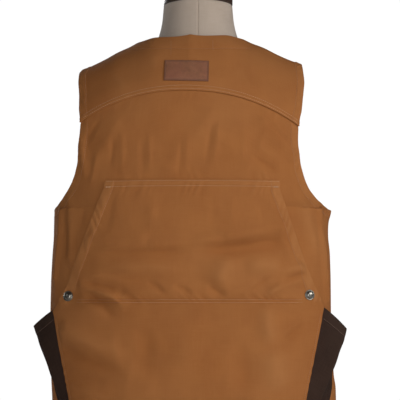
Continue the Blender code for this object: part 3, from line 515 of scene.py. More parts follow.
def face_point(face, across, rise):
    """The point of the vest's inside on its back or front: an angle across, and a distance up from the hem."""
    body = CAP_Z[face] - HEM_Z
    turn = np.clip((rise - body) / CAP_LENGTH[face], 0, 1) * math.pi / 2
    height = HEM_Z + np.minimum(rise, body)
    x = half_width(across, height) * signed_power(np.sin(across), 2 / SECTION_POWER)
    depth = smooth(TORSO, "z", face, height) * np.abs(np.cos(across)) ** (2 / SECTION_POWER)
    y = (-1 if face == "back" else 1) * depth * np.cos(turn)
    z = height + (shoulder_height(x) - CAP_Z[face]) * np.sin(turn)
    return np.stack([x, y, z], axis=-1)


def inside_point(across, up):
    """The same for `up`, which runs from the back hem over the shoulder line and down the front."""
    across, up = np.broadcast_arrays(np.asarray(across, float), np.asarray(up, float))
    back = face_point("back", across, np.minimum(up, BACK_LENGTH))
    front = face_point("front", across, FRONT_LENGTH - np.maximum(up - BACK_LENGTH, 0))
    return np.where((up > BACK_LENGTH)[..., None], front, back)


def front_up(rise):
    """`up` for a distance up the front from its hem."""
    return BACK_LENGTH + FRONT_LENGTH - rise


def unit(vectors):
    return vectors / np.linalg.norm(vectors, axis=-1, keepdims=True)


def outward(across, up):
    """The unit normal of the vest's inside, pointing away from the wearer."""
    nudge = 0.0004
    widest = math.pi / 2
    right = inside_point(np.minimum(across + nudge, widest), up)
    left = inside_point(np.maximum(across - nudge, -widest), up)
    above = inside_point(across, np.minimum(up + nudge, BACK_LENGTH + FRONT_LENGTH))
    below = inside_point(across, np.maximum(up - nudge, 0.0))
    return unit(np.cross(right - left, above - below))


def lay(across, up, height):
    """Points this far outside the vest's inside."""
    across, up, height = np.broadcast_arrays(
        np.asarray(across, float), np.asarray(up, float), np.asarray(height, float)
    )
    return inside_point(across, up) + outward(across, up) * height[..., None]


def across_of(x, z):
    """The angle across at which the vest's inside has this x."""
    share = np.clip(np.abs(x) / half_width(x, z), 0, 1)
    return np.sign(x) * np.arcsin(share ** (SECTION_POWER / 2))


def rise_to(face, x, z):
    """The distance up the cloth at which the column at x reaches this height."""
    body = CAP_Z[face] - HEM_Z
    reach = shoulder_height(x) - CAP_Z[face]
    turn = np.arcsin(np.clip((z - CAP_Z[face]) / reach, 0, 1))
    return np.where(z > CAP_Z[face], body + CAP_LENGTH[face] * turn / (math.pi / 2), z - HEM_Z)


def height_at(face, x, rise):
    body = CAP_Z[face] - HEM_Z
    turn = np.clip((rise - body) / CAP_LENGTH[face], 0, 1) * math.pi / 2
    return HEM_Z + np.minimum(rise, body) + (shoulder_height(x) - CAP_Z[face]) * np.sin(turn)


def rise_to_depth(face, x, depth):
    """The distance up the cloth at which the column at x has curved in to this depth."""
    body = CAP_Z[face] - HEM_Z
    full = smooth(TORSO, "z", face, CAP_Z[face])
    full = full * np.cos(across_of(x, CAP_Z[face])) ** (2 / SECTION_POWER)
    turn = np.arccos(np.clip(depth / full, 0, 1))
    return body + CAP_LENGTH[face] * turn / (math.pi / 2)


def edge_angle(face, edge, column, rise, sign=1):
    """How far across an edge lies on the row at `rise`, the edge given as x by height."""
    rise = np.asarray(rise, float)
    x = np.full_like(rise, sign * EDGE_GUESS)
    for _ in range(12):
        x = sign * smooth(edge, "z", column, height_at(face, x, rise))
    return sign * across_of(x, height_at(face, x, rise))


def side_angle(face, side, rise):
    """The angle across of a panel's outer edge: the side seam, and the armhole above it."""
    seam = math.pi / 2 - (SEAM_GAP / 2 / TORSO[face][0]) ** (SECTION_POWER / 2)
    sign = -1 if side == "left" else 1
    armhole = edge_angle(face, ARMHOLE[face], side, np.maximum(rise, ARMHOLE_RISE), sign)
    return np.where(rise > ARMHOLE_RISE, np.minimum(armhole, seam), seam)


def across_at(share, left, right):
    """The angle across at a share of the way out from the centre to an angle on the left (negative) or right."""
    return share * np.where(share < 0, left, right)


def fold_height(piece, across, z):
    """How far the piece's soft folds stand out at a place."""
    total = np.zeros(np.broadcast(across, z).shape)
    rows = FOLDS[piece]
    for a, z_a, b, z_b, width, height in zip(*(rows[name] for name in FOLD_COLUMNS.split())):
        x_a, x_b = a * METRES_PER_DEGREE, b * METRES_PER_DEGREE
        x = np.degrees(across) * METRES_PER_DEGREE
        length = (x_b - x_a) ** 2 + (z_b - z_a) ** 2
        along = np.clip(((x - x_a) * (x_b - x_a) + (z - z_a) * (z_b - z_a)) / length, 0, 1)
        away = (x - x_a - along * (x_b - x_a)) ** 2 + (z - z_a - along * (z_b - z_a)) ** 2
        total = np.maximum(total, height * np.exp(-away / width**2))
    return total


def yoke_seam_z(x):
    share = np.abs(x) / YOKE_END
    return YOKE_PEAK_Z - YOKE_FALL * share**YOKE_CURVE - YOKE_TILT * x / YOKE_END


def back_across(share, rise):
    return across_at(share, side_angle("back", "left", rise), side_angle("back", "right", rise))


def yoke_seam_rise(share, lap):
    """How far up the cloth the yoke's lower edge lies, moved up by a lap, at a share of the way to the armhole."""
    x = share * YOKE_END
    for _ in range(6):
        rise = rise_to("back", x, yoke_seam_z(x) + lap)
        x = face_point("back", back_across(share, rise), rise)[..., 0]
    return rise


def fold_fade(z, seam_z):
    """Folds of the back die out before the yoke's seam, so that the two layers stay parallel there."""
    return ease((seam_z - z - 0.004) / 0.020)


def flare(across, z):
    """The corner of cloth under the right armhole stands out a little."""
    start, end = FLARE_FROM
    near_seam = ease((across - start) / (end - start))
    return FLARE * np.exp(-(((z - ARMHOLE_Z) / FLARE_REACH) ** 2)) * near_seam


def pouch_edge_x(across, z):
    return np.where(across < 0, straight(POUCH_EDGE, "z", "left", z), straight(POUCH_EDGE, "z", "right", z))


def yoke_height(x, z):
    """The yoke's inner side: over the back panel at its lap, then down on the form."""
    return (CANVAS + LAY_GAP) * (1 - ease((z - yoke_seam_z(x) - YOKE_LAP - 0.004) / YOKE_SETTLE))


# The sewing and the small creases


def away(x, z, line):
    """How far places lie from a line of (x, z) points, and how far along it the nearest point of it lies."""
    shape = np.broadcast(x, z).shape
    at = np.stack(np.broadcast_arrays(x, z), axis=-1).reshape(-1, 1, 2)
    a, step = line[:-1], np.diff(line, axis=0)
    length = np.linalg.norm(step, axis=1)
    start = np.concatenate([[0], np.cumsum(length)[:-1]])
    share = np.clip(((at - a) * step).sum(-1) / length**2, 0, 1)
    distance = np.linalg.norm(at - a - share[..., None] * step, axis=-1)
    nearest = distance.argmin(axis=1)
    row = np.arange(len(nearest))
    along = start[nearest] + share[row, nearest] * length[nearest]
    return distance[row, nearest].reshape(shape), along.reshape(shape)


def crease_height(piece, x, z):
    """The creases: each bends through three points and runs out at both its ends."""
    total = np.zeros(np.broadcast(x, z).shape)
    rows = CREASES[piece]
    for x_a, z_a, x_b, z_b, x_c, z_c, width, height in zip(*(rows[name] for name in CREASE_COLUMNS.split())):
        t = np.linspace(0, 1, 9)[:, None]
        a, b, c = (np.array(p) for p in ((x_a, z_a), (x_b, z_b), (x_c, z_c)))
        line = a * (1 - t) * (1 - 2 * t) + b * 4 * t * (1 - t) + c * t * (2 * t - 1)
        distance, along = away(x, z, line)
        whole = np.linalg.norm(np.diff(line, axis=0), axis=1).sum()
        ends = ease(along / (0.35 * whole)) * ease((whole - along) / (0.35 * whole))
        total += height * ends * np.exp(-((distance / width) ** 2))
    return total


def unevenness(x, z, size, seed):
    """Smooth seeded unevenness from -1 to 1, with features of about this size."""
    lattice = np.random.default_rng(seed).uniform(-1, 1, (97, 97))
    u, v = np.broadcast_arrays(np.asarray(x, float) / size + 40, np.asarray(z, float) / size + 7)
    i, j = np.floor(u).astype(int), np.floor(v).astype(int)
    s, t = ease(u - i), ease(v - j)
    i, j = i % 96, j % 96
    low = lattice[i, j] * (1 - s) + lattice[i + 1, j] * s
    high = lattice[i, j + 1] * (1 - s) + lattice[i + 1, j + 1] * s
    return low * (1 - t) + high * t


def panel_unevenness(x, z, seed):
    return 0.0005 * unevenness(x, z, 0.034, seed) + 0.0003 * unevenness(x, z, 0.015, seed + 1)


def hem(distance, width, raised=0.0007):
    """The doubled cloth of a turned edge, up to its row of stitches."""
    return raised * (1 - ease((distance - width) / 0.0018))


def groove(distance, depth=0.0005, half=0.0011):
    """A row of stitches draws the cloth in."""
    return -depth * np.exp(-((distance / half) ** 2))


def ripples(distance, along, depth, reach, pitch=0.012, slant=0.0):
    """Uneven puckers beside a row of stitches, which die away from it."""
    place = along + slant * distance
    wave = np.sin(2 * math.pi * place / pitch + 2.1 * np.sin(2 * math.pi * place / (4.3 * pitch)))
    wave = wave * (0.55 + 0.45 * np.sin(2 * math.pi * place / (7.1 * pitch) + 1))
    return depth * wave * np.exp(-((distance / reach) ** 2))


def edge_line(edge, column, low, high, sign=1, count=90):
    z = np.linspace(low, high, count)
    return np.stack([sign * smooth(edge, "z", column, z), z], axis=-1)


def offset(line, distance):
    """A line moved sideways, to its left where the distance is positive."""
    tangent = unit(np.gradient(line, axis=0))
    return line + distance * np.stack([-tangent[:, 1], tangent[:, 0]], axis=-1)


ARMHOLE_LINES = {
    (face, side): edge_line(ARMHOLE[face], side, ARMHOLE_Z, 0.788, sign)
    for face in ("back", "front")
    for side, sign in SIDES
}
SLANT_LINES = {
    side: np.stack([sign * POUCH_EDGE[side][5:], POUCH_EDGE["z"][5:]], axis=-1)
    for side, sign in SIDES
}


def armhole_relief(face, x, z):
    """The turned edges of the armholes."""
    total = 0.0
    for side in ("left", "right"):
        distance, along = away(x, z, ARMHOLE_LINES[face, side])
        total = total + hem(distance, ARMHOLE_HEM, 0.0005) + groove(distance - ARMHOLE_HEM)
        total = total + ripples(distance - ARMHOLE_HEM * 0.6, along, 0.00028, 0.007, 0.011, 0.6)
    return total * ease((z - ARMHOLE_Z + 0.004) / 0.010)


def side_seam_relief(across, z):
    """The felled side seams, below the armholes."""
    distance = (math.pi / 2 - np.abs(across)) * SIDE_SEAM_RADIUS
    below = ease((ARMHOLE_Z - 0.004 - z) / 0.006)
    near, far = (groove(distance - row) for row in SIDE_SEAM_ROWS)
    return below * (hem(distance, SIDE_SEAM_HEM, 0.0004) + near + far)


def bottom_relief(x, z):
    distance = z - HEM_Z
    return (
        hem(distance, BOTTOM_HEM, 0.0005)
        + groove(distance - BOTTOM_HEM)
        + ripples(distance - BOTTOM_HEM * 0.6, x, 0.00035, 0.011, 0.014, 0.7)
    )


def back_height(across, rise):
    """How far the back panel's inner side lies off the vest's inside."""
    point = face_point("back", across, rise)
    x, z = point[..., 0], point[..., 2]
    under_pouch = ease((pouch_edge_x(across, z) - np.abs(x)) / 0.012 + 0.6)
    under_pouch = under_pouch * (z < POUCH_TOP_Z + 0.006)
    fade = fold_fade(z, yoke_seam_z(x)) * (1 - under_pouch)
    seam = ease((math.pi / 2 - np.abs(across)) / SIDE_SEAM_FADE)
    folds = fold_height("back", across, z) + crease_height("back", x, z)
    uneven = panel_unevenness(x, z, 3)
    return (folds + uneven) * fade * seam + flare(across, z)


def back_outside(across, rise):
    point = face_point("back", across, rise)
    x, z = point[..., 0], point[..., 2]
    covered = ease((z - yoke_seam_z(x) + 0.004) / 0.003)
    in_pouch = ease((pouch_edge_x(across, z) + 0.002 - np.abs(x)) / 0.002) * (z < POUCH_TOP_Z)
    relief = armhole_relief("back", x, z) + side_seam_relief(across, z)
    beside = np.abs(z - POUCH_TOP_Z)
    relief = relief + ripples(beside, x, 0.00035, 0.014, 0.013, 0.4) * (z > POUCH_TOP_Z)
    relief = relief + ripples(yoke_seam_z(x) - z, x, 0.0004, 0.012, 0.015, 0.5)
    open_cloth = (1 - covered) * (1 - in_pouch)
    return back_height(across, rise) + CANVAS + relief * open_cloth + bottom_relief(x, z) * (1 - in_pouch)


def front_height(side, across, rise):
    point = face_point("front", across, rise)
    x, z = point[..., 0], point[..., 2]
    seam = ease((math.pi / 2 - np.abs(across)) / SIDE_SEAM_FADE)
    closure = ease((np.abs(x) - FRONT_OVERLAP) / 0.03)
    folds = fold_height("front", across, z) + crease_height("front", x, z)
    uneven = panel_unevenness(x, z, 13)
    height = (folds + uneven) * seam * closure * ease((0.80 - z) / 0.06) + flare(across, z)
    if side == "left":
        start, end = OVERLAP_RAMP
        fade = ease((RAISED_BELOW_Z - HEM_Z - rise) / 0.03)
        height = height + (CANVAS + LAY_GAP) * ease((x + end) / (end - start)) * fade
    return height


FRONT_LINES = {
    side: edge_line(FRONT_EDGE, "x", HEM_Z, FRONT_TOP_Z, sign, 260) for side, sign in SIDES
}


def front_outside(side, across, rise):
    point = face_point("front", across, rise)
    x, z = point[..., 0], point[..., 2]
    distance, along = away(x, z, FRONT_LINES[side])
    raised = 0.0006 if side == "left" else 0.0002
    relief = armhole_relief("front", x, z) + side_seam_relief(across, z) + bottom_relief(x, z)
    near, far = (groove(distance - row) for row in FRONT_ROWS)
    relief = relief + hem(distance, 0.0095, raised) + near + far
    relief = relief + ripples(distance - 0.006, along, 0.00025, 0.006, 0.013, 0.5)
    return front_height(side, across, rise) + CANVAS + relief


def yoke_outside(across, up):
    point = inside_point(across, up)
    x, z = point[..., 0], point[..., 2]
    behind = up <= BACK_LENGTH
    relief = armhole_relief("back", x, z)
    lap = z - yoke_seam_z(x)
    seam = sum(groove(lap - row, 0.00045) for row in YOKE_ROWS)
    seam = seam + hem(lap, YOKE_ROWS[1], 0.0003) + ripples(lap - 0.003, x, 0.0003, 0.006, 0.013, 0.5)
    relief = relief + np.where(behind, seam + crease_height("yoke", x, z), 0.0)
    line = z - facing_height(x)
    shown = ease((FACING_HALF - np.abs(x)) / 0.01) * behind
    relief = relief + shown * (groove(line, 0.0003) + 0.0003 * ease(line / 0.004))
    relief = relief + 0.00025 * unevenness(x, point[..., 1] + z, 0.03, 23)
    return yoke_height(x, z) + CANVAS + relief


def facing_height(x):
    """Height of the row of stitches below the neckline, which looks level from behind."""
    return FACING_Z + FACING_RISE * (x / FACING_REACH) ** 2


def edge_across(side, z):
    """How far across the pouch's edge lies at a height, on one side."""
    sign = -1 if side == "left" else 1
    return sign * across_of(sign * straight(POUCH_EDGE, "z", side, z), z)


def snap_tilt(across, z):
    """Round each of its snaps the pouch is turned a little to the back: higher outwards and lower inwards."""
    total = 0
    for x, snap_z in POUCH_SNAPS.values():
        degrees = np.degrees(np.sign(x) * across - abs(across_of(np.array(x), np.array(snap_z))))
        outwards = degrees * SNAP_METRES_PER_DEGREE
        near = np.exp(-(outwards**2 + (z - snap_z) ** 2) / SNAP_TILT_REACH**2)
        total = total + SNAP_TILT * outwards * near
    return total


def mouth(x, z):
    """Along its slanted sides: how the turned edge stands out or lies close, and the cloth inside it."""
    total = 0
    for side, line in SLANT_LINES.items():
        distance, _ = away(x, z, line)
        lip = MOUTH_OUT[side] * np.exp(-((distance / MOUTH_REACH) ** 2))
        total = total + lip - MOUTH_IN[side] * np.exp(-(((distance - MOUTH_IN_FROM) / MOUTH_REACH) ** 2))
    return total * ease((z - 0.462) / 0.030) * ease((0.600 - z) / 0.030)


def pouch_height(across, z):
    """How far the pouch's inner side lies off the vest's inside."""
    x = face_point("back", across, z - HEM_Z)[..., 0]
    share = np.clip(np.abs(x) / pouch_edge_x(across, z), 0, 1)
    centre, edge = (smooth(POUCH_LIFT, "z", column, z) for column in ("centre", "edge"))
    lift = edge + (centre - edge) * (1 - share**2.4)
    sewn = ease((POUCH_TOP_Z - 0.004 - z) / 0.02) * ease((z - HEM_Z - 0.004) / 0.03)
    folds = fold_height("pouch", across, z)
    fine = crease_height("pouch", x, z) + 0.0011 * unevenness(x, z, 0.036, 33) + 0.0004 * unevenness(x, z, 0.014, 34)
    folds = (folds + fine * ease((z - 0.2) / 0.05)) * sewn * ease((1 - share) / 0.06)
    off = lift + folds + snap_tilt(across, z) + mouth(x, z)
    return CANVAS + LAY_GAP + np.maximum(off, np.minimum(lift, 0.0005))


def pouch_outside_height(across, z):
    x = face_point("back", across, z - HEM_Z)[..., 0]
    relief = bottom_relief(x, z)
    for side in ("left", "right"):
        distance, along = away(x, z, SLANT_LINES[side])
        above = ease((z - MOUTH_Z) / 0.006)
        relief = relief + above * (hem(distance, SLANT_HEM, 0.0008) + groove(distance - SLANT_HEM, 0.0006))
        relief = relief + above * ripples(distance - 0.007, along, 0.0006, 0.008, 0.016, 1.1)
    low = np.abs(x) - pouch_edge_x(across, z)
    sewn = groove(low + 0.003) + ripples(low, z, 0.0005, 0.012, 0.015, 0.6)
    relief = relief + ease((SEWN_Z - z) / 0.006) * sewn
    top = POUCH_TOP_Z - z
    relief = relief + sum(groove(top - row) for row in POUCH_TOP_ROWS) + hem(top, POUCH_TOP_ROWS[1], 0.0005)
    relief = relief + ripples(top - 0.012, x, 0.0004, 0.012, 0.012, 0.4)
    inside = ease((0.152 - np.abs(x)) / 0.01)
    middle = sum(POUCH_LOW_ROWS) / 2
    relief = relief + inside * sum(groove(z - row, 0.0006, 0.0010) for row in POUCH_LOW_ROWS)
    relief = relief + inside * ripples(z - middle - 0.004, x, 0.0007, 0.009, 0.013, 0.9)
    relief = relief - inside * 0.0007 * np.exp(-(((z - middle) / 0.005) ** 2))
    return pouch_height(across, z) + CANVAS + relief


# Meshes


def finish_mesh(name, vertices, faces, finish, replaces=(), attributes=None):
    """One object from points and faces, turned outwards, riding on the part's one body."""
    mesh = bpy.data.meshes.new(name)
    mesh.from_pydata(np.asarray(vertices).tolist(), [], faces)
    shape = bmesh.new()
    shape.from_mesh(mesh)
    bmesh.ops.recalc_face_normals(shape, faces=shape.faces)
    shape.to_mesh(mesh)
    shape.free()
    mesh.shade_smooth()
    mesh.materials.append(finish)
    for key, values in (attributes or {}).items():
        values = np.asarray(values, float)
        kind = "FLOAT_VECTOR" if values.ndim == 2 else "FLOAT"
        made = mesh.attributes.new(key, kind, "POINT")
        made.data.foreach_set("vector" if values.ndim == 2 else "value", values.ravel())
    thing = bpy.data.objects.new(name, mesh)
    bpy.context.scene.collection.objects.link(thing)
    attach(thing, "root")
    if replaces:
        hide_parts(*replaces)
    return thing


def run(points, axis):
    """How far along a grid of points each lies, measured along this axis."""
    step = np.linalg.norm(np.diff(points, axis=axis), axis=-1)
    start = np.zeros_like(np.take(step, [0], axis=axis))
    return np.concatenate([start, np.cumsum(step, axis=axis)], axis=axis)


def spread(across, up, near, far, middle):
    """The same rows with new columns: at set distances from both ends, and evenly between."""
    length = run(inside_point(across, up), 1)
    near, far = np.array(near), np.array(far)
    share = np.linspace(0, 1, middle + 2)[1:-1]
    rows = []
    for a, u, s in zip(across, up, length):
        between = near[-1] + share * (s[-1] - far[-1] - near[-1])
        target = np.concatenate([near, between, s[-1] - far[::-1]])
        rows.append((np.interp(target, s, a), np.interp(target, s, u)))
    return tuple(np.array(rows).transpose(1, 0, 2))


def rim_of(rows, columns):
    rim = list(range(columns))
    rim += [i * columns + columns - 1 for i in range(1, rows)]
    rim += [(rows - 1) * columns + j for j in range(columns - 2, -1, -1)]
    rim += [i * columns for i in range(rows - 2, 0, -1)]
    return np.array(rim)


def wall(name, inner, outer, wear_and_shade, finish, slot, replaces):
    """A closed wall of cloth between two grids of points, with a rounded rim."""
    rows, columns = inner.shape[:2]
    count = rows * columns
    flat_inner, flat_outer = inner.reshape(-1, 3), outer.reshape(-1, 3)
    rim = rim_of(rows, columns)
    i, j = rim // columns, rim % columns
    inside = np.clip(i, 1, rows - 2) * columns + np.clip(j, 1, columns - 2)
    outwards = unit(flat_outer[rim] - flat_outer[inside])
    thickness = np.linalg.norm(flat_outer[rim] - flat_inner[rim], axis=1, keepdims=True)
    quarter = [flat_inner[rim] * (1 - t) + flat_outer[rim] * t + outwards * thickness * bulge
               for t, bulge in ((0.15, 0.14), (0.5, 0.24), (0.85, 0.14))]
    vertices = np.concatenate([flat_inner, flat_outer, *quarter])
    a = (np.arange(rows - 1)[:, None] * columns + np.arange(columns - 1)[None, :]).ravel()
    b, c, d = a + 1, a + columns + 1, a + columns
    faces = np.stack([a, d, c, b], axis=1).tolist() + (count + np.stack([a, b, c, d], axis=1)).tolist()
    rings = [rim, *(2 * count + k * len(rim) + np.arange(len(rim)) for k in range(3)), count + rim]
    for low, high in zip(rings, rings[1:]):
        faces += np.stack([low, np.roll(low, -1), np.roll(high, -1), high], axis=1).tolist()
    middle = columns // 2
    u = run(outer, 1)
    u = u - u[:, middle : middle + 1]
    v = run(outer, 0)
    grain = np.stack([u, v, 0 * u], axis=-1).reshape(-1, 3)
    wear_and_shade = np.broadcast_to(wear_and_shade, (rows, columns)).ravel()
    # Besides rubbed edges and dark seams, this attribute carries painted light on crease crests and painted shade in
    # crease hollows of the back panel and the pouch.
    attributes = {
        "grain": np.concatenate([grain, grain, grain[rim], grain[rim], grain[rim]]),
        "wear_and_shade": np.concatenate([0 * wear_and_shade, wear_and_shade, wear_and_shade[rim], wear_and_shade[rim] + 0.3, wear_and_shade[rim]]),
    }
    return finish_mesh(name, vertices, faces, finish, replaces, attributes)


def edge_rub_and_crease_shade(relief_height, base_height, creases=0.0):
    """Lighter where seams and hems stand out from the cloth around them, as rubbed cloth is, and darker in their
    grooves; crease heights add painted light on crease crests and painted shade in crease hollows.
    """
    return np.clip((relief_height - base_height - CANVAS) / 0.0010 + creases / 0.0055, -1, 1)


SIDE_EDGE = (0, 0.0008, 0.0018, 0.003, 0.0045, 0.006, 0.0075, 0.0085, 0.0095, 0.0105, 0.0115, 0.0125, 0.014, 0.016)
HEM_ROWS = (0, 0.0008, 0.002, 0.005, 0.009, 0.013, 0.0165, 0.0185, 0.0195, 0.0205, 0.0215, 0.023, 0.0255)


def row_at(values, length, at):
    """A row's values at these distances along it."""
    return np.stack([np.interp(at, length, values[:, k]) for k in range(3)], axis=-1)


def thread(name, rows, finish, pitch=STITCH_PITCH, radius=THREAD_RADIUS):
    """Rows of real stitches. Each row is a path of points on the cloth with the cloth's normals."""
    vertices, faces = [], []
    sides = 5
    turn = np.arange(sides) * 2 * math.pi / sides
    stations = ((-0.50, -0.5, 0.35), (-0.34, 0.35, 0.9), (0.0, 0.6, 1.0), (0.34, 0.35, 0.9), (0.50, -0.5, 0.35))
    for points, normals in rows:
        length = run(points[None], 1)[0]
        count = max(int(length[-1] / pitch), 1)
        centres = (np.arange(count) + 0.5) * length[-1] / count
        place, normal = row_at(points, length, centres), row_at(normals, length, centres)
        step = row_at(points, length, centres + 0.001) - row_at(points, length, centres - 0.001)
        along = unit(step)
        side = unit(np.cross(normal, along))
        normal = np.cross(along, side)
        rings = []
        for at, lift, size in stations:
            middle = place + along * at * pitch * 0.86 + normal * lift * radius
            for angle in turn:
                rings.append(middle + radius * size * (side * math.cos(angle) + normal * math.sin(angle)))
        block = np.stack(rings, axis=1)
        start = sum(len(v) for v in vertices)
        vertices.append(block.reshape(-1, 3))
        own = len(stations) * sides
        first = start + np.arange(count)[:, None] * own
        for k in range(len(stations) - 1):
            for j in range(sides):
                n = (j + 1) % sides
                quad = np.array([k * sides + j, k * sides + n, (k + 1) * sides + n, (k + 1) * sides + j])
                faces += (first + quad[None, :]).tolist()
        faces += (first + np.arange(sides)[None, ::-1]).tolist()
        faces += (first + own - sides + np.arange(sides)[None, :]).tolist()
    return finish_mesh(name, np.concatenate(vertices), faces, finish)


def on_back(line, outside):
    """A row of stitches along a line of (x, z) points on the back."""
    x, z = line[:, 0], line[:, 1]
    across, rise = across_of(x, z), rise_to("back", x, z)
    return lay(across, rise, outside(across, rise)), outward(across, rise)


def on_front(line, outside):
    x, z = line[:, 0], line[:, 1]
    across, rise = across_of(x, z), rise_to("front", x, z)
    up = front_up(rise)
    return lay(across, up, outside(across, rise)), outward(across, up)


def level_line(x_a, x_b, height, count=160):
    x = np.linspace(x_a, x_b, count)
    return np.stack([x, height(x) if callable(height) else np.full_like(x, height)], axis=-1)


def rows_to_armhole(share):
    """Rows of points from the hem to the armholes, closer together at the hem."""
    evenly = np.linspace(HEM_ROWS[-1], ARMHOLE_RISE, 124)[1:-1]
    return np.concatenate([HEM_ROWS, evenly])[:, None] + 0 * share


def side_seam_rows(sign, outside, in_front=False):
    """The two rows of stitches beside a side seam, on the back panel or on a front."""
    rise = np.linspace(HEM_Z + 0.004, ARMHOLE_Z - 0.008, 140) - HEM_Z
    up = front_up(rise) if in_front else rise
    rows = []
    for distance in SIDE_SEAM_ROWS:
        angle = sign * (math.pi / 2 - distance / SIDE_SEAM_RADIUS) + 0 * rise
        rows.append((lay(angle, up, outside(angle, rise)), outward(angle, up)))
    return rows


def back_panel(canvas, dull):
    share = np.linspace(-1, 1, 401)[None, :]
    level = (np.linspace(0, 1, 62) ** 1.4)[:, None]
    upper = ARMHOLE_RISE + level * (yoke_seam_rise(share, YOKE_LAP) - ARMHOLE_RISE)
    rise = np.concatenate([rows_to_armhole(share), upper])
    across, rise = spread(back_across(share, rise), rise, SIDE_EDGE, SIDE_EDGE, 150)
    inner, outer = back_height(across, rise), back_outside(across, rise)
    point = face_point("back", across, rise)
    # The crease heights passed here paint light on crease crests and shade in crease hollows.
    wear_and_shade = edge_rub_and_crease_shade(outer, inner, crease_height("back", point[..., 0], point[..., 2]))
    sides = lay(across, rise, inner), lay(across, rise, outer)
    piece = wall("vest_back", *sides, wear_and_shade, canvas, "canvas", ("back_panel",))
    rows = []
    for side, sign in SIDES:
        line = ARMHOLE_LINES["back", side]
        line = offset(line, ARMHOLE_HEM * sign)
        line = line[line[:, 1] < yoke_seam_z(line[:, 0]) - 0.002]
        rows.append(on_back(line, back_outside))
        rows += side_seam_rows(sign, back_outside)
        x = sign * np.linspace(0.146, 0.2085, 60)
        rows.append(on_back(np.stack([x, 0 * x + HEM_Z + BOTTOM_HEM], axis=-1), back_outside))
    return piece, [thread("stitches_back", rows, dull)]


def yoke_columns():
    tips = [float(side_angle("back", side, BACK_LENGTH)) for side in ("left", "right")]
    neck = float(across_of(np.array(NECK_HALF), CAP_Z["back"]))
    turn = np.linspace(0, math.pi / 2, 32)
    near = 1 - np.array(SIDE_EDGE)[::-1] / 0.160
    half = []
    for tip in tips:
        inner = across_of(NECK_HALF * np.sin(turn), CAP_Z["back"]) / tip
        outer = np.linspace(neck / tip, near[0], 26)[1:-1]
        half.append(np.concatenate([inner, outer, near]))
    return np.concatenate([-half[0][:0:-1], half[1]])[None, :], tips


def yoke(canvas, pale, dull):
    share, tips = yoke_columns()
    x = face_point("back", across_at(share, *tips), np.array(0.0) + BACK_LENGTH)[..., 0]
    round_neck = np.sqrt(np.clip(1 - (x / NECK_HALF) ** 2, 0, 1))
    y = SHOULDER_SEAM - (NECKLINE_DEPTH + SHOULDER_SEAM) * round_neck
    behind = rise_to_depth("back", x, np.maximum(-y, 0))
    beyond = FRONT_LENGTH - rise_to_depth("front", x, np.maximum(y, 0))
    top = np.where(y < 0, behind, BACK_LENGTH + beyond)
    bottom = yoke_seam_rise(share, 0.0)
    whole = top - bottom
    seam = np.array((0, 0.0006, 0.0014, 0.0022, 0.003, 0.0042, 0.0056, 0.0064, 0.0072, 0.008, 0.009, 0.011))[:, None]
    last = np.array((0.010, 0.0085, 0.007, 0.0055, 0.004, 0.003, 0.002, 0.001, 0))[:, None]
    between = np.linspace(0, 1, 50)[1:-1, None]
    up = np.concatenate([bottom + seam + 0 * share, bottom + seam[-1] + between * (whole - seam[-1] - last[0]),
                         top - last])
    across = back_across(share, np.minimum(up, BACK_LENGTH))
    point = inside_point(across, up)
    inner, outer = yoke_height(point[..., 0], point[..., 2]), yoke_outside(across, up)
    piece = wall("vest_yoke", lay(across, up, inner), lay(across, up, outer), edge_rub_and_crease_shade(outer, inner), canvas, "canvas",
                 ("yoke",))
    rows = []
    for row in YOKE_ROWS:
        line = level_line(-YOKE_END + 0.001, YOKE_END - 0.001, lambda x: yoke_seam_z(x) + row, 240)
        rows.append(on_back(line, yoke_outside))
    seams = [thread("stitches_yoke_seam", rows, pale)]
    rows = []
    for side, sign in SIDES:
        line = offset(ARMHOLE_LINES["back", side], ARMHOLE_HEM * sign)
        line = line[line[:, 1] > yoke_seam_z(line[:, 0]) + 0.0005]
        rows.append(on_back(line, yoke_outside))
    rows.append(on_back(level_line(-0.092, 0.088, facing_height), yoke_outside))
    for x, low, high in ((-0.0280, 0.7880, 0.8120), (0.0325, 0.7955, 0.8130)):
        z = np.linspace(high, low, 40)
        rows.append(on_back(np.stack([x + 0 * z, z], axis=-1), yoke_outside))
    for sign in (-1, 1):
        x = sign * np.linspace(NECK_HALF + 0.002, 0.158, 60)
        across_row = across_of(x, CAP_Z["back"])
        end = FRONT_LENGTH - rise_to_depth("front", x, SHOULDER_SEAM + 0 * x)
        for distance in SHOULDER_ROWS:
            up_row = BACK_LENGTH + end - distance
            points = lay(across_row, up_row, yoke_outside(across_row, up_row))
            rows.append((points, outward(across_row, up_row)))
    return piece, [*seams, thread("stitches_yoke", rows, dull)]


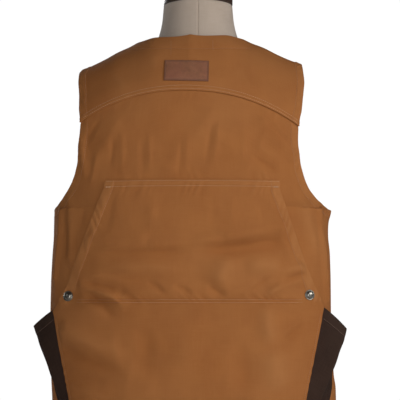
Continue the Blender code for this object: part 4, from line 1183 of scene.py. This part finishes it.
def front_panel(name, sign, canvas, pale, dull):
    share = np.linspace(0, 1, 301)[None, :]
    body = rows_to_armhole(share)
    level = np.linspace(0, 1, 74)[:, None] ** 1.2
    top = FRONT_LENGTH + 0 * share
    for _ in range(8):
        rise = np.concatenate([body, ARMHOLE_RISE + level * (top - ARMHOLE_RISE)])
        inner = edge_angle("front", FRONT_EDGE, "x", rise)
        across = sign * (inner + share * (side_angle("front", name, rise) - inner))
        x = face_point("front", across[-1:], top)[..., 0]
        top = rise_to_depth("front", x, SHOULDER_SEAM + SEAM_GAP + 0 * x)
    across, up = spread(across, front_up(rise), SIDE_EDGE, SIDE_EDGE, 66)
    rise = front_up(up)
    low, high = front_height(name, across, rise), front_outside(name, across, rise)
    piece = wall(f"vest_front_{name}", lay(across, up, low), lay(across, up, high), edge_rub_and_crease_shade(high, low), canvas, "canvas",
                 (f"front_{name}",))

    def outside(a, r):
        return front_outside(name, a, r)

    rows = []
    for distance in FRONT_ROWS:
        line = offset(FRONT_LINES[name], -distance * sign)
        line = line[line[:, 1] < 0.8100]
        rows.append(on_front(line, outside))
    if name == "left":
        rows.append(on_front(np.stack([0 * np.linspace(0, 1, 120) - 0.016, np.linspace(HEM_Z + 0.003, 0.580, 120)],
                                      axis=-1), outside))
    edges = [thread(f"stitches_edge_{name}", rows, pale)]
    line = offset(ARMHOLE_LINES["front", name], ARMHOLE_HEM * sign)
    rows = [on_front(line, outside)]
    rows += side_seam_rows(sign, outside, in_front=True)
    x = np.linspace(sign * -0.014, sign * 0.2085, 150)
    rows.append(on_front(np.stack([x, 0 * x + HEM_Z + BOTTOM_HEM], axis=-1), outside))
    return piece, [*edges, thread(f"stitches_front_{name}", rows, dull)]


def pouch_rows():
    low = HEM_Z + 0.002
    return np.concatenate(
        [
            low + np.array(HEM_ROWS[:-1]),
            np.linspace(low + HEM_ROWS[-1], 0.4260, 66),
            np.arange(0.4275, 0.4400, 0.0007),
            np.linspace(0.4405, 0.5940, 72),
            np.linspace(0.5942, POUCH_TOP_Z, 16),
        ]
    )[:, None]


def pouch(canvas, pale, dull):
    share = np.linspace(-1, 1, 401)[None, :]
    heights = pouch_rows()
    across = across_at(share, edge_across("left", heights), edge_across("right", heights))
    rise = heights - HEM_Z + 0 * share
    edge = (0, 0.0008, 0.002, 0.0035, 0.0055, 0.0075, 0.0095, 0.0108, 0.0118, 0.0128, 0.0138, 0.015, 0.017)
    across, rise = spread(across, rise, edge, edge, 110)
    z = rise + HEM_Z
    low, high = pouch_height(across, z), pouch_outside_height(across, z)
    # The crease heights passed here paint light on crease crests and shade in crease hollows.
    wear_and_shade = edge_rub_and_crease_shade(high, low, crease_height("pouch", face_point("back", across, rise)[..., 0], z))
    piece = wall("vest_pouch", lay(across, rise, low), lay(across, rise, high), wear_and_shade, canvas, "canvas", ("pouch",))

    def outside(a, r):
        return pouch_outside_height(a, r + HEM_Z)

    rows = []
    for row in POUCH_TOP_ROWS:
        rows.append(on_back(level_line(-0.118, 0.125, POUCH_TOP_Z - row), outside))
    faint = []
    for row, clear in zip(POUCH_LOW_ROWS, POUCH_LOW_CLEAR):
        ends = [-0.158, *clear, 0.156]
        for k, (x_a, x_b) in enumerate(zip(ends, ends[1:])):
            (rows if k % 2 else faint).append(on_back(level_line(x_a, x_b, row), outside))
    for side, sign in SIDES:
        line = offset(SLANT_LINES[side], SLANT_HEM * sign)
        line = line[line[:, 1] > 0.447]
        t = np.linspace(0, 1, 120)
        s = np.linspace(0, 1, len(line))
        line = np.stack([np.interp(t, s, line[:, 0]), np.interp(t, s, line[:, 1])], axis=-1)
        faint.append(on_back(line, outside))
        z = np.linspace(HEM_Z + 0.006, 0.415, 140)
        x = sign * (straight(POUCH_EDGE, "z", side, z) - 0.003)
        faint.append(on_back(np.stack([x, z], axis=-1), outside))
    rows.append(on_back(level_line(-0.138, 0.132, HEM_Z + BOTTOM_HEM), outside))
    stitches = [thread("stitches_pouch", rows, pale), thread("stitches_pouch_faint", faint, dull)]
    bars = []
    for x_a, x_b, z in ((-0.1185, -0.1110, 0.5950), (0.1165, 0.1235, 0.5955)):
        for k in range(3):
            line = level_line(x_a, x_b, z + (k - 1) * 0.0007, 12)
            points, normals = on_back(line, outside)
            bars.append((points + normals * 0.0003, normals))
    tacks = thread("bartacks", bars, pale, pitch=0.0022, radius=0.00050)
    return piece, [*stitches, tacks]


def round_body(angle, z, height):
    """A point round the vest's body: an angle from the centre back, past a quarter turn on the front."""
    on_front_side = np.abs(angle) > math.pi / 2
    across = np.where(on_front_side, np.sign(angle) * math.pi - angle, angle)
    up = np.where(on_front_side, front_up(z - HEM_Z), z - HEM_Z)
    return lay(across, up, height)


def clear_of_body(points, height):
    """The same points, moved straight back or forwards where they are nearer to the body than `height`."""
    x, y, z = points[..., 0], points[..., 1], points[..., 2]
    share = np.clip(np.abs(x) / (half_width(x, z) + height), 0, 1)
    depth = np.where(y < 0, smooth(TORSO, "z", "back", z), smooth(TORSO, "z", "front", z)) + height
    depth = depth * (1 - share**SECTION_POWER) ** (1 / SECTION_POWER)
    return np.stack([x, np.where(y < 0, -1, 1) * np.maximum(np.abs(y), depth), z], axis=-1)


def plain_pouch_height(across, z):
    """The pouch's inner side at its edge, without its small creases."""
    return CANVAS + LAY_GAP + smooth(POUCH_LIFT, "z", "edge", z) + snap_tilt(across, z)


def gusset(name, sign, twill, brown):
    level = np.concatenate([np.array((0, 0.0008, 0.002, 0.004, 0.007, 0.010, 0.0122)) / 0.195,
                            np.linspace(0.070, 0.125, 12), np.linspace(0.140, 1, 54)])
    z = GUSSET_TOP_Z[name] + (GUSSET_BOTTOM_Z - GUSSET_TOP_Z[name]) * level
    edge = edge_across(name, z)
    under = plain_pouch_height(sign * edge, z) - LAY_GAP - GUSSET_CLOTH / 2
    on_body = CANVAS + LAY_GAP + GUSSET_CLOTH / 2
    body = GUSSET_BODY_TOP + (GUSSET_BODY_BOTTOM - GUSSET_BODY_TOP) * level**GUSSET_BODY_CURVE
    tucked = [round_body(sign * (edge - GUSSET_FLANGE * t), z, under) for t in (1, 0.5, 0)]
    leaving = round_body(sign * (edge + GUSSET_LEAVES), z, under)
    z_fore = z - GUSSET_FORE_DROP * (1 - level)
    meeting = round_body(sign * body, z_fore, on_body + 0 * z)
    flange = [round_body(sign * (body + GUSSET_FLANGE * t), z_fore, on_body + 0 * z) for t in (0.5, 1)]
    middle = (leaving + meeting) / 2
    chord = meeting - leaving
    out = np.stack([chord[:, 1], -chord[:, 0], 0 * level], axis=-1) * sign
    out = unit(out)
    fold = middle.copy()
    fold[:, 2] -= GUSSET_DROP[name] * (1 - level)
    crease = smooth(GUSSET_CREASE, "z", name, fold[:, 2])
    fold += out * ((crease - np.abs(middle[:, 0])) / np.abs(out[:, 0]))[:, None]
    bulge = out * (GUSSET_BULGE * np.linalg.norm(fold - middle, axis=-1))[:, None]
    steps = (0.06, 0.12, 0.2, 0.28, 0.36, 0.44, 0.52, 0.6, 0.68, 0.76, 0.83, 0.89, 0.94, 0.975)
    rear = [leaving + (fold - leaving) * t + bulge * t * (1 - t) for t in steps]
    fore = [fold + (meeting - fold) * (1 - t) + bulge * t * (1 - t) for t in reversed(steps)]
    tip = [fold * 0.6 + (rear[-1] + fore[0]) * 0.2]
    sheet = np.stack([*tucked, leaving, *rear, *tip, *fore, meeting, *flange], axis=1)
    first = len(tucked) + 1
    last = sheet.shape[1] - len(flange) - 1
    u = run(sheet, 1)
    normal = unit(np.cross(np.gradient(sheet, axis=1), np.gradient(sheet, axis=0)))
    down = run(sheet, 0)
    loose = np.zeros(sheet.shape[1])
    loose[first:last] = 1
    wave = 0.0007 * unevenness(u, down, 0.022, 43) * loose * ease(down / 0.03)
    sheet = sheet + normal * wave[..., None]
    layers = np.interp(np.arange(first, last), (first + len(steps) - 4, first + len(steps) + 4), (1, 0))
    clear = on_body + LAY_GAP + layers * (GUSSET_CLOTH + LAY_GAP)
    sheet[:, first:last] = clear_of_body(sheet[:, first:last], clear)
    column = np.arange(sheet.shape[1])
    free = loose * np.minimum(1, np.minimum(column - first + 1, last - column) / 3)
    relief = (hem(down, GUSSET_HEM, 0.0004) + groove(down - GUSSET_HEM, 0.0003)) * np.clip(free, 0, 1)
    # The cloth's outer side is the one that its normal points to on the rear leaf of the left gusset
    outer_sign = 1.0 if (normal[20, first + 6] * out[20]).sum() > 0 else -1.0
    outer = sheet + normal * outer_sign * (GUSSET_CLOTH / 2 + relief)[..., None]
    inner = sheet - normal * outer_sign * (GUSSET_CLOTH / 2)
    wear_and_shade = np.clip(relief / 0.0008, -1, 1)
    wear_and_shade[:, first + len(steps) - 1 : first + len(steps) + 3] += 0.5
    piece = wall(f"gusset_fold_{name}", inner, outer, wear_and_shade, twill, "gusset_twill", (f"gusset_{name}",))
    columns = np.arange(first, last)
    points, normals = [], []
    for k in columns:
        points.append([np.interp(GUSSET_HEM, down[:, k], outer[:, k, c]) for c in range(3)])
        normals.append([np.interp(GUSSET_HEM, down[:, k], outer_sign * normal[:, k, c]) for c in range(3)])
    points, normals = np.array(points), np.array(normals)
    half = len(steps) + 1
    rows = [(points[:half], normals[:half]), (points[half:], normals[half:])]
    return piece, [thread(f"stitches_gusset_{name}", rows, brown)]


def patch(leather, thread_finish):
    """The bare leather patch, laid on the yoke and sewn round."""
    across_steps = np.array((0, 0.0003, 0.0009, 0.0015, 0.002, 0.0025, 0.0032)) / PATCH_WIDTH
    up_steps = across_steps * PATCH_WIDTH / PATCH_HEIGHT
    s = np.concatenate([across_steps, np.linspace(across_steps[-1], 1 - across_steps[-1], 44)[1:-1],
                        1 - across_steps[::-1]]) - 0.5
    t = np.concatenate([up_steps, np.linspace(up_steps[-1], 1 - up_steps[-1], 22)[1:-1], 1 - up_steps[::-1]]) - 0.5
    s, t = np.meshgrid(s, t)

    def place(s, t):
        x = PATCH_CENTRE[0] + s * PATCH_WIDTH * math.cos(PATCH_TILT) + t * PATCH_HEIGHT * math.sin(PATCH_TILT)
        z = PATCH_CENTRE[1] + t * PATCH_HEIGHT * math.cos(PATCH_TILT) - s * PATCH_WIDTH * math.sin(PATCH_TILT)
        return x, z

    def border(s, t):
        return np.minimum((0.5 - np.abs(s)) * PATCH_WIDTH, (0.5 - np.abs(t)) * PATCH_HEIGHT)

    def top(s, t):
        x, z = place(s, t)
        d = border(s, t)
        relief = groove(d - PATCH_INSET, 0.00035, 0.0008) - 0.0005 * (1 - ease(d / 0.0012))
        relief = relief + 0.0002 * unevenness(x, z, 0.009, 53) * ease((d - 0.002) / 0.004)
        return yoke_height(x, z) + CANVAS + LAY_GAP + PATCH_LEATHER + relief

    x, z = place(s, t)
    across, rise = across_of(x, z), rise_to("back", x, z)
    low = yoke_height(x, z) + CANVAS + LAY_GAP
    high = top(s, t)
    wear_and_shade = np.clip(1 - border(s, t) / 0.0022, 0, 1)
    piece = wall("leather_patch", lay(across, rise, low), lay(across, rise, high), wear_and_shade, leather, "patch_leather",
                 ("patch",))
    a, b = 0.5 - PATCH_INSET / PATCH_WIDTH, 0.5 - PATCH_INSET / PATCH_HEIGHT
    rows = []
    for (s0, t0), (s1, t1) in (((-a, -b), (a, -b)), ((a, -b), (a, b)), ((a, b), (-a, b)), ((-a, b), (-a, -b))):
        k = np.linspace(0, 1, 60)
        s_row, t_row = s0 + (s1 - s0) * k, t0 + (t1 - t0) * k
        x, z = place(s_row, t_row)
        across, rise = across_of(x, z), rise_to("back", x, z)
        rows.append((lay(across, rise, top(s_row, t_row)), outward(across, rise)))
    stitches = thread("stitches_patch", rows, thread_finish, pitch=0.0024, radius=0.00026)
    return piece, stitches


def ring_faces(rings, sides):
    """The faces of a solid made of rings of points, closed at both ends."""
    faces = []
    for i in range(rings - 1):
        for j in range(sides):
            k = (j + 1) % sides
            faces.append((i * sides + j, i * sides + k, (i + 1) * sides + k, (i + 1) * sides + j))
    return [*faces, tuple(range(sides)), tuple(range((rings - 1) * sides, rings * sides))]


def turned(name, profile, sides, finish, replaces, place=(0, 0, 0), direction=(0, 0, 1)):
    """A solid turned about an axis from (radius, height) points, closed at both ends."""
    angles = np.arange(sides) * 2 * math.pi / sides
    turn = Vector(direction).to_track_quat("Z", "Y").to_matrix()
    rings = [np.stack([r * np.cos(angles), r * np.sin(angles), 0 * angles + z], axis=-1) for r, z in profile]
    vertices = np.concatenate(rings) @ np.array(turn).T + np.array(place)
    return finish_mesh(name, vertices, ring_faces(len(profile), sides), finish, replaces)


def snaps(metal):
    """Domed snap caps with a rolled rim."""
    r, h = SNAP_RADIUS, SNAP_HEIGHT
    profile = (
        (0.90 * r, -0.10 * h), (0.97 * r, 0.00 * h), (1.00 * r, 0.14 * h), (0.99 * r, 0.27 * h), (0.95 * r, 0.37 * h),
        (0.90 * r, 0.40 * h), (0.85 * r, 0.37 * h), (0.815 * r, 0.31 * h), (0.79 * r, 0.33 * h), (0.76 * r, 0.42 * h),
        (0.70 * r, 0.58 * h), (0.60 * r, 0.76 * h), (0.47 * r, 0.89 * h), (0.32 * r, 0.96 * h), (0.16 * r, 0.99 * h),
        (0.04 * r, 1.00 * h),
    )

    def outside(x, z):
        across = across_of(x, z)
        return lay(across, z - HEM_Z, pouch_outside_height(across, z))

    for name, (x, z) in POUCH_SNAPS.items():
        across = outside(x + r * 0.6, z) - outside(x - r * 0.6, z)
        up = outside(x, z + r) - outside(x, z - r)
        direction = np.cross(across, up)
        direction /= np.linalg.norm(direction)
        turned(f"snap_cap_{name}", profile, 40, metal, (f"pouch_snap_{name}",),
               outside(x, z) + direction * 0.0006, direction)
    for number, z in enumerate(FRONT_SNAP_Z, 1):
        up = front_up(z - HEM_Z)
        centre = np.array(0.0)
        height = front_outside("left", centre, np.array(z - HEM_Z))
        turned(f"snap_cap_front_{number}", profile, 40, metal, (f"front_snap_{number}",),
               lay(centre, up, height + 0.0002), outward(centre, up))


def vest_depth(face, x, z, clear):
    """How deep the vest's inside is at a place seen from the front, less a clearance. Negative outside it."""
    level = np.minimum(z, CAP_Z[face])
    shoulder = shoulder_height(np.sign(x) * np.maximum(np.abs(x), FORM_LEVEL_HALF))
    share = np.clip(np.abs(x) / half_width(x, level), 0, 1)
    depth = smooth(TORSO, "z", face, level) * (1 - share**SECTION_POWER) ** (1 / SECTION_POWER)
    up_share = (z + clear - CAP_Z[face]) / (shoulder - CAP_Z[face])
    curve = np.sqrt(np.clip(1 - np.clip(up_share, 0, 2) ** 2, 0, 1))
    return np.where(up_share < 1, depth * curve - clear, -1.0)


def form_radius(direction, z):
    """How far the dress form reaches from its axis at a height, in each direction."""
    across, ahead = np.sin(direction), -np.cos(direction)
    low, high = np.zeros_like(direction), np.full_like(direction, 0.4)
    for _ in range(40):
        r = (low + high) / 2
        x, y = r * across, r * ahead
        clear = FORM_CLEAR + FORM_CLEAR_GROWTH * (shoulder_height(x) - z)
        clear = np.clip(clear, FORM_CLEAR, FORM_CLEAR_MOST)
        within = (-vest_depth("back", x, z, clear) < y) & (y < vest_depth("front", x, z, clear))
        low, high = np.where(within, r, low), np.where(within, high, r)
    half, behind, in_front, power = (smooth(FORM, "z", name, z) for name in ("half", "back", "front", "power"))
    depth = np.where(ahead < 0, behind, in_front)
    core = ((np.abs(across) / half) ** power + (np.abs(ahead) / depth) ** power) ** (-1 / power)
    torso = (np.maximum(low, 1e-4) ** -16.0 + core**-16.0) ** (-1 / 16)
    neck = smooth(FORM_NECK, "z", "radius", z)
    shift = NECK_SHIFT * across
    neck = shift + np.sqrt(neck**2 - NECK_SHIFT**2 + shift**2)
    if z < FORM_NECK["z"][0]:
        return torso
    return (torso**24 + neck**24) ** (1 / 24)


def form(linen):
    """The dress form in one closed surface, with sewn seams down its back, front and sides."""
    fine = np.array((0, 0.008, 0.016, 0.026, 0.038, 0.055))
    quarter = np.concatenate([fine, np.linspace(0.055, math.pi / 2 - 0.055, 32)[1:-1], math.pi / 2 - fine[:0:-1]])
    angles = np.concatenate([quarter + k * math.pi / 2 for k in range(4)])
    from_seam = np.abs((angles + math.pi / 4) % (math.pi / 2) - math.pi / 4)
    dense = np.arange(1440) * 2 * math.pi / 1440
    heights = np.concatenate([
        FORM_BOTTOM_Z + np.array((0, 0.0012, 0.003, 0.0055, 0.009)), np.linspace(0.115, 0.70, 54),
        np.linspace(0.705, 0.80, 34)[:-1], np.linspace(0.80, 0.834, 24)[:-1], np.linspace(0.834, NECK_TOP_Z, 14)])
    rings = []
    for z in heights:
        radius = form_radius(dense, z)
        radius = radius - 0.006 * (1 - math.sqrt(1 - max(0.0, 1 - (z - FORM_BOTTOM_Z) / 0.009) ** 2))
        x, y = radius * np.sin(dense), -radius * np.cos(dense)
        centre = NECK_SHIFT * float(ease(np.array((z - 0.71) / 0.07)))
        turn = np.unwrap(np.arctan2(x - centre, -y))
        reach = np.hypot(x - centre, y)
        reach = np.interp(angles, turn, reach, period=2 * math.pi)
        seam = from_seam * reach
        reach = reach - 0.0007 * np.exp(-((seam / 0.0009) ** 2))
        reach = reach + 0.0003 * np.exp(-((seam / 0.004) ** 2)) * (z < 0.76)
        rings.append(np.stack([centre + reach * np.sin(angles), -reach * np.cos(angles), 0 * reach + z], axis=-1))
    vertices = np.concatenate(rings)
    faces = ring_faces(len(rings), len(angles))
    wear_and_shade = np.concatenate([-np.exp(-((from_seam * np.hypot(r[:, 0], r[:, 1]) / 0.0014) ** 2)) for r in rings])
    u = np.concatenate([angles * 0.14 for _ in rings])
    v = np.repeat(heights, len(angles))
    attributes = {"grain": np.stack([u, v, 0 * u], axis=-1), "wear_and_shade": wear_and_shade}
    return finish_mesh("dress_form", vertices, faces, linen, ("form_body",), attributes)


def stand(wood, steel):
    r, h = CAP_RADIUS, CAP_HEIGHT
    profile = [(0.90 * r, 0.0), (0.97 * r, 0.02 * h), (r, 0.10 * h), (1.0 * r, 0.42 * h), (0.985 * r, 0.55 * h),
               (0.95 * r, 0.68 * h), (0.88 * r, 0.80 * h), (0.76 * r, 0.90 * h), (0.58 * r, 0.96 * h),
               (0.36 * r, 0.99 * h), (0.12 * r, 1.0 * h)]
    turned("cap", profile, 96, wood, ("neck_cap",), (NECK_SHIFT, 0, NECK_TOP_Z + SEAM_GAP))
    top = FORM_BOTTOM_Z - BASE_HEIGHT - 2 * SEAM_GAP
    r = POLE_RADIUS
    profile = [(r * 0.98, 0), (r, 0.0005), (r, 0.010), (r * 0.97, 0.0105), (r * 0.97, top - 0.012), (r, top - 0.0115),
               (r, top - 0.0005), (r * 0.98, top)]
    turned("stand_pole", profile, 64, steel, ("pole",), (0, 0, BASE_HEIGHT + SEAM_GAP))
    r, h = BASE_RADIUS, BASE_HEIGHT
    profile = [(0.980 * r, 0), (0.992 * r, 0.04 * h), (0.999 * r, 0.14 * h), (r, 0.28 * h), (r, 0.50 * h),
               (0.994 * r, 0.66 * h), (0.980 * r, 0.80 * h), (0.955 * r, 0.91 * h), (0.925 * r, 0.975 * h),
               (0.89 * r, h), (0.20 * r, h), (0.12 * r, h)]
    turned("stand_base", profile, 160, wood, ("base",))


# Materials


class Nodes:
    """Makes a material's nodes and joins them."""

    def __init__(self, name):
        self.material = bpy.data.materials.new(name)
        self.material.use_nodes = True
        self.tree = self.material.node_tree
        self.shader = self.tree.nodes["Principled BSDF"]

    def new(self, kind, inputs=(), **settings):
        node = self.tree.nodes.new(kind)
        for key, value in settings.items():
            setattr(node, key, value)
        for key, value in dict(inputs).items():
            self.put(node, key, value)
        return node

    def put(self, node, key, value):
        socket = node.inputs[key]
        if isinstance(value, bpy.types.NodeSocket):
            self.tree.links.new(value, socket)
        elif isinstance(value, tuple) and len(value) == 3 and socket.type == "RGBA":
            socket.default_value = (*value, 1.0)
        else:
            socket.default_value = value

    def math(self, operation, a, b=0.0, c=0.0, clamp=False):
        return self.new("ShaderNodeMath", {0: a, 1: b, 2: c}, operation=operation, use_clamp=clamp).outputs[0]

    def place(self):
        return self.new("ShaderNodeTexCoord").outputs["Object"]

    def attribute(self, name, output="Vector"):
        return self.new("ShaderNodeAttribute", attribute_name=name).outputs[output]

    def scaled(self, vector, scale):
        return self.new("ShaderNodeMapping", {"Vector": vector, "Scale": scale}).outputs["Vector"]

    def noise(self, vector, scale, detail=2.0, roughness=0.5):
        inputs = {"Vector": vector, "Scale": scale, "Detail": detail, "Roughness": roughness}
        return self.new("ShaderNodeTexNoise", inputs).outputs["Fac"]

    def mix(self, factor, a, b, blend="MIX"):
        node = self.new("ShaderNodeMix", data_type="RGBA", blend_type=blend)
        self.put(node, 0, factor)
        self.put(node, 6, a)
        self.put(node, 7, b)
        return node.outputs[2]

    def between(self, value, low, high, to_low=0.0, to_high=1.0):
        inputs = {0: value, 1: low, 2: high, 3: to_low, 4: to_high}
        return self.new("ShaderNodeMapRange", inputs).outputs[0]

    def bump(self, height, distance, strength=1.0, normal=None):
        inputs = {"Height": height, "Distance": distance, "Strength": strength}
        if normal is not None:
            inputs["Normal"] = normal
        return self.new("ShaderNodeBump", inputs).outputs["Normal"]

    def finish(self, **inputs):
        for key, value in inputs.items():
            self.put(self.shader, key.replace("_", " "), value)
        return self.material


def woven(name, colour, deep, light, pitch, weave, slub, roughness, sheen):
    """A woven cloth: over-and-under threads, uneven yarns, mottled dye, lighter rubbed edges and darker grooves, and
    painted light on crease crests with painted shade in crease hollows.
    """
    n = Nodes(name)
    grain = n.attribute("grain")
    wear_and_shade = n.attribute("wear_and_shade", "Fac")
    place = n.place()
    split = n.new("ShaderNodeSeparateXYZ", {0: grain})
    u = n.math("MULTIPLY", split.outputs[0], math.pi / pitch)
    v = n.math("MULTIPLY", split.outputs[1], math.pi / pitch)
    over = n.math("MULTIPLY", n.math("SINE", u), n.math("SINE", v))
    warp = n.noise(n.scaled(grain, (1.0, 0.035, 1.0)), 1 / (pitch * 2.2), 2.0)
    weft = n.noise(n.scaled(grain, (0.035, 1.0, 1.0)), 1 / (pitch * 2.2), 2.0)
    mottle = n.noise(place, 26.0, 4.0, 0.6)
    broad = n.noise(place, 7.0, 2.0)
    fuzz = n.noise(place, 900.0, 2.0)
    tone = n.mix(n.between(mottle, 0.3, 0.7), deep, colour)
    tone = n.mix(n.between(broad, 0.35, 0.7, 0.0, 0.35), tone, light)
    yarn = n.math("ADD", warp, weft)
    tone = n.mix(n.between(yarn, 0.75, 1.25, 0.0, slub), tone, light)
    tone = n.mix(n.between(over, -1, 1, 0.0, 0.16), tone, deep)
    # Lighter where rubbed and on crease crests (painted light), darker in grooves and crease hollows (painted shade).
    tone = n.mix(n.between(wear_and_shade, 0.1, 1.0, 0.0, 0.45), tone, light)
    tone = n.mix(n.between(wear_and_shade, -0.1, -0.8, 0.0, 0.55), tone, deep)
    height = n.math("ADD", n.math("MULTIPLY", over, 0.5), n.math("MULTIPLY", yarn, 0.9))
    height = n.math("ADD", height, n.math("MULTIPLY", fuzz, 0.4))
    normal = n.bump(height, weave, 0.8)
    rough = n.between(mottle, 0.3, 0.7, roughness - 0.06, roughness + 0.05)
    return n.finish(Base_Color=tone, Roughness=rough, Normal=normal, Sheen_Weight=sheen, Sheen_Roughness=0.5,
                    Specular_IOR_Level=0.12)


def thread_material(name, colour, deep):
    n = Nodes(name)
    place = n.place()
    spin = n.noise(place, 1500.0, 2.0)
    age = n.noise(place, 30.0, 3.0)
    tone = n.mix(n.between(age, 0.3, 0.7), deep, colour)
    tone = n.mix(n.between(spin, 0.3, 0.7, 0.0, 0.3), tone, deep)
    return n.finish(Base_Color=tone, Roughness=0.62, Normal=n.bump(spin, 0.0001), Sheen_Weight=0.2)


def leather_material():
    n = Nodes("patch_leather")
    place = n.place()
    wear_and_shade = n.attribute("wear_and_shade", "Fac")
    cells = n.new("ShaderNodeTexVoronoi", {"Vector": place, "Scale": 900.0}, feature="DISTANCE_TO_EDGE").outputs[0]
    pores = n.between(cells, 0.0, 0.12, 0.0, 1.0)
    mottle = n.noise(place, 120.0, 5.0, 0.65)
    broad = n.noise(place, 35.0, 3.0)
    tone = n.mix(n.between(mottle, 0.3, 0.7), (0.220, 0.088, 0.044), (0.330, 0.140, 0.072))
    tone = n.mix(n.between(broad, 0.4, 0.7, 0.0, 0.6), tone, (0.29, 0.105, 0.062))
    tone = n.mix(n.between(pores, 0, 1, 0.35, 0.0), tone, (0.11, 0.042, 0.024))
    tone = n.mix(n.between(wear_and_shade, 0.0, 1.0, 0.0, 0.7), tone, (0.11, 0.040, 0.022))
    height = n.math("ADD", pores, n.math("MULTIPLY", mottle, 1.2))
    return n.finish(Base_Color=tone, Roughness=n.between(mottle, 0.3, 0.7, 0.5, 0.68), Normal=n.bump(height, 0.00016),
                    Specular_IOR_Level=0.35)


def snap_material():
    n = Nodes("aged_snap_metal")
    place = n.place()
    spots = n.noise(place, 700.0, 4.0, 0.6)
    scratch = n.noise(n.scaled(place, (1.0, 1.0, 6.0)), 1100.0, 3.0)
    tone = n.mix(n.between(spots, 0.35, 0.65), (0.115, 0.105, 0.090), (0.33, 0.31, 0.27))
    rough = n.between(spots, 0.3, 0.7, 0.36, 0.22)
    return n.finish(Base_Color=tone, Metallic=1.0, Roughness=rough, Normal=n.bump(scratch, 0.00003))


def wood_material():
    n = Nodes("dark_wood")
    place = n.place()
    bent = n.scaled(place, (1.0, 9.0, 9.0))
    rings = n.noise(bent, 14.0, 5.0, 0.62)
    pores = n.noise(n.scaled(place, (1.0, 30.0, 30.0)), 40.0, 3.0)
    tone = n.mix(n.between(rings, 0.35, 0.65), (0.022, 0.012, 0.008), (0.058, 0.030, 0.018))
    tone = n.mix(n.between(pores, 0.55, 0.7, 0.0, 0.6), tone, (0.012, 0.007, 0.005))
    rough = n.between(rings, 0.3, 0.7, 0.34, 0.48)
    return n.finish(Base_Color=tone, Roughness=rough, Normal=n.bump(pores, 0.0002, 0.4), Coat_Weight=0.3,
                    Coat_Roughness=0.25)


def steel_material():
    n = Nodes("brushed_steel")
    place = n.place()
    brushed = n.noise(n.scaled(place, (1.0, 1.0, 40.0)), 300.0, 3.0)
    tone = n.mix(n.between(brushed, 0.3, 0.7), (0.42, 0.42, 0.42), (0.58, 0.58, 0.57))
    return n.finish(Base_Color=tone, Metallic=1.0, Roughness=n.between(brushed, 0.3, 0.7, 0.28, 0.42),
                    Normal=n.bump(brushed, 0.00004))


# Stage


def stage():
    floor = bpy.data.meshes.new("floor")
    floor.from_pydata([(-3, -3, 0), (3, -3, 0), (3, 3, 0), (-3, 3, 0)], [], [(0, 1, 2, 3)])
    n = Nodes("floor")
    floor.materials.append(n.finish(Base_Color=(0.82, 0.82, 0.82), Roughness=0.9))
    thing = bpy.data.objects.new("floor", floor)
    bpy.context.scene.collection.objects.link(thing)

    world = bpy.data.worlds.new("studio")
    bpy.context.scene.world = world
    world.use_nodes = True
    tree = world.node_tree
    tree.nodes.clear()
    path = tree.nodes.new("ShaderNodeLightPath")
    seen, cast = tree.nodes.new("ShaderNodeBackground"), tree.nodes.new("ShaderNodeBackground")
    seen.inputs["Color"].default_value = (1, 1, 1, 1)
    seen.inputs["Strength"].default_value = 1.02
    cast.inputs["Color"].default_value = (1, 0.985, 0.97, 1)
    cast.inputs["Strength"].default_value = WORLD_STRENGTH
    mix = tree.nodes.new("ShaderNodeMixShader")
    output = tree.nodes.new("ShaderNodeOutputWorld")
    tree.links.new(path.outputs["Is Camera Ray"], mix.inputs[0])
    tree.links.new(cast.outputs[0], mix.inputs[1])
    tree.links.new(seen.outputs[0], mix.inputs[2])
    tree.links.new(mix.outputs[0], output.inputs["Surface"])

    for name, place, size, energy, colour in LIGHTS:
        data = bpy.data.lights.new(name, "AREA")
        data.shape = "RECTANGLE"
        data.size, data.size_y = size
        data.energy = energy
        data.color = colour
        light = bpy.data.objects.new(name, data)
        light.location = place
        light.rotation_mode = "QUATERNION"
        light.rotation_quaternion = (Vector(place) - Vector((0, 0, 0.5))).to_track_quat("Z", "Y")
        bpy.context.scene.collection.objects.link(light)

    data = bpy.data.cameras.new("camera")
    data.lens, data.sensor_width = 120, 36
    camera = bpy.data.objects.new("camera", data)
    camera.location = (0.014, -2.0, 0.435)
    camera.rotation_euler = (math.radians(90 + 4.29), 0, 0)
    bpy.context.scene.collection.objects.link(camera)
    bpy.context.scene.camera = camera
    bpy.context.scene.view_settings.view_transform = "Standard"


WORLD_STRENGTH = 0.03
LIGHTS = (
    ("key", (2.4, -1.75, 1.65), (1.3, 1.3), 52.0, (1.0, 0.985, 0.96)),
    ("low", (0.0, -3.2, 0.5), (1.3, 1.3), 38.0, (1.0, 0.99, 0.98)),
    ("left", (-2.4, -1.75, 1.65), (1.3, 1.3), 3.0, (1.0, 1.0, 1.0)),
    ("behind", (-1.2, 2.6, 1.6), (1.6, 1.6), 40.0, (1.0, 1.0, 1.0)),
)


def main():
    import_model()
    canvas = woven("duck_canvas", (0.347, 0.128, 0.0365), (0.302, 0.105, 0.0285), (0.41, 0.176, 0.062),
                   0.00055, 0.00022, 0.22, 0.88, 0.0)
    twill = woven("dark_twill", (0.034, 0.017, 0.012), (0.021, 0.010, 0.007), (0.070, 0.042, 0.030), 0.0005, 0.00020,
                  0.25, 0.84, 0.0)
    linen = woven("form_linen", (0.46, 0.37, 0.30), (0.40, 0.315, 0.25), (0.54, 0.46, 0.385), 0.0006, 0.00020, 0.35,
                  0.9, 0.35)
    pale = thread_material("pale_thread", (0.56, 0.31, 0.155), (0.42, 0.215, 0.10))
    dull = thread_material("canvas_thread", (0.40, 0.175, 0.064), (0.30, 0.120, 0.040))
    brown = thread_material("brown_thread", (0.16, 0.078, 0.044), (0.10, 0.046, 0.026))
    back, back_rows = back_panel(canvas, dull)
    top, top_rows = yoke(canvas, pale, dull)
    fronts = [front_panel(name, sign, canvas, pale, dull) for name, sign in SIDES]
    bag, bag_rows = pouch(canvas, pale, dull)
    folds = [gusset(name, sign, twill, brown) for name, sign in SIDES]
    patch(leather_material(), brown)
    snaps(snap_material())
    form(linen)
    stand(wood_material(), steel_material())

    stage()


main()
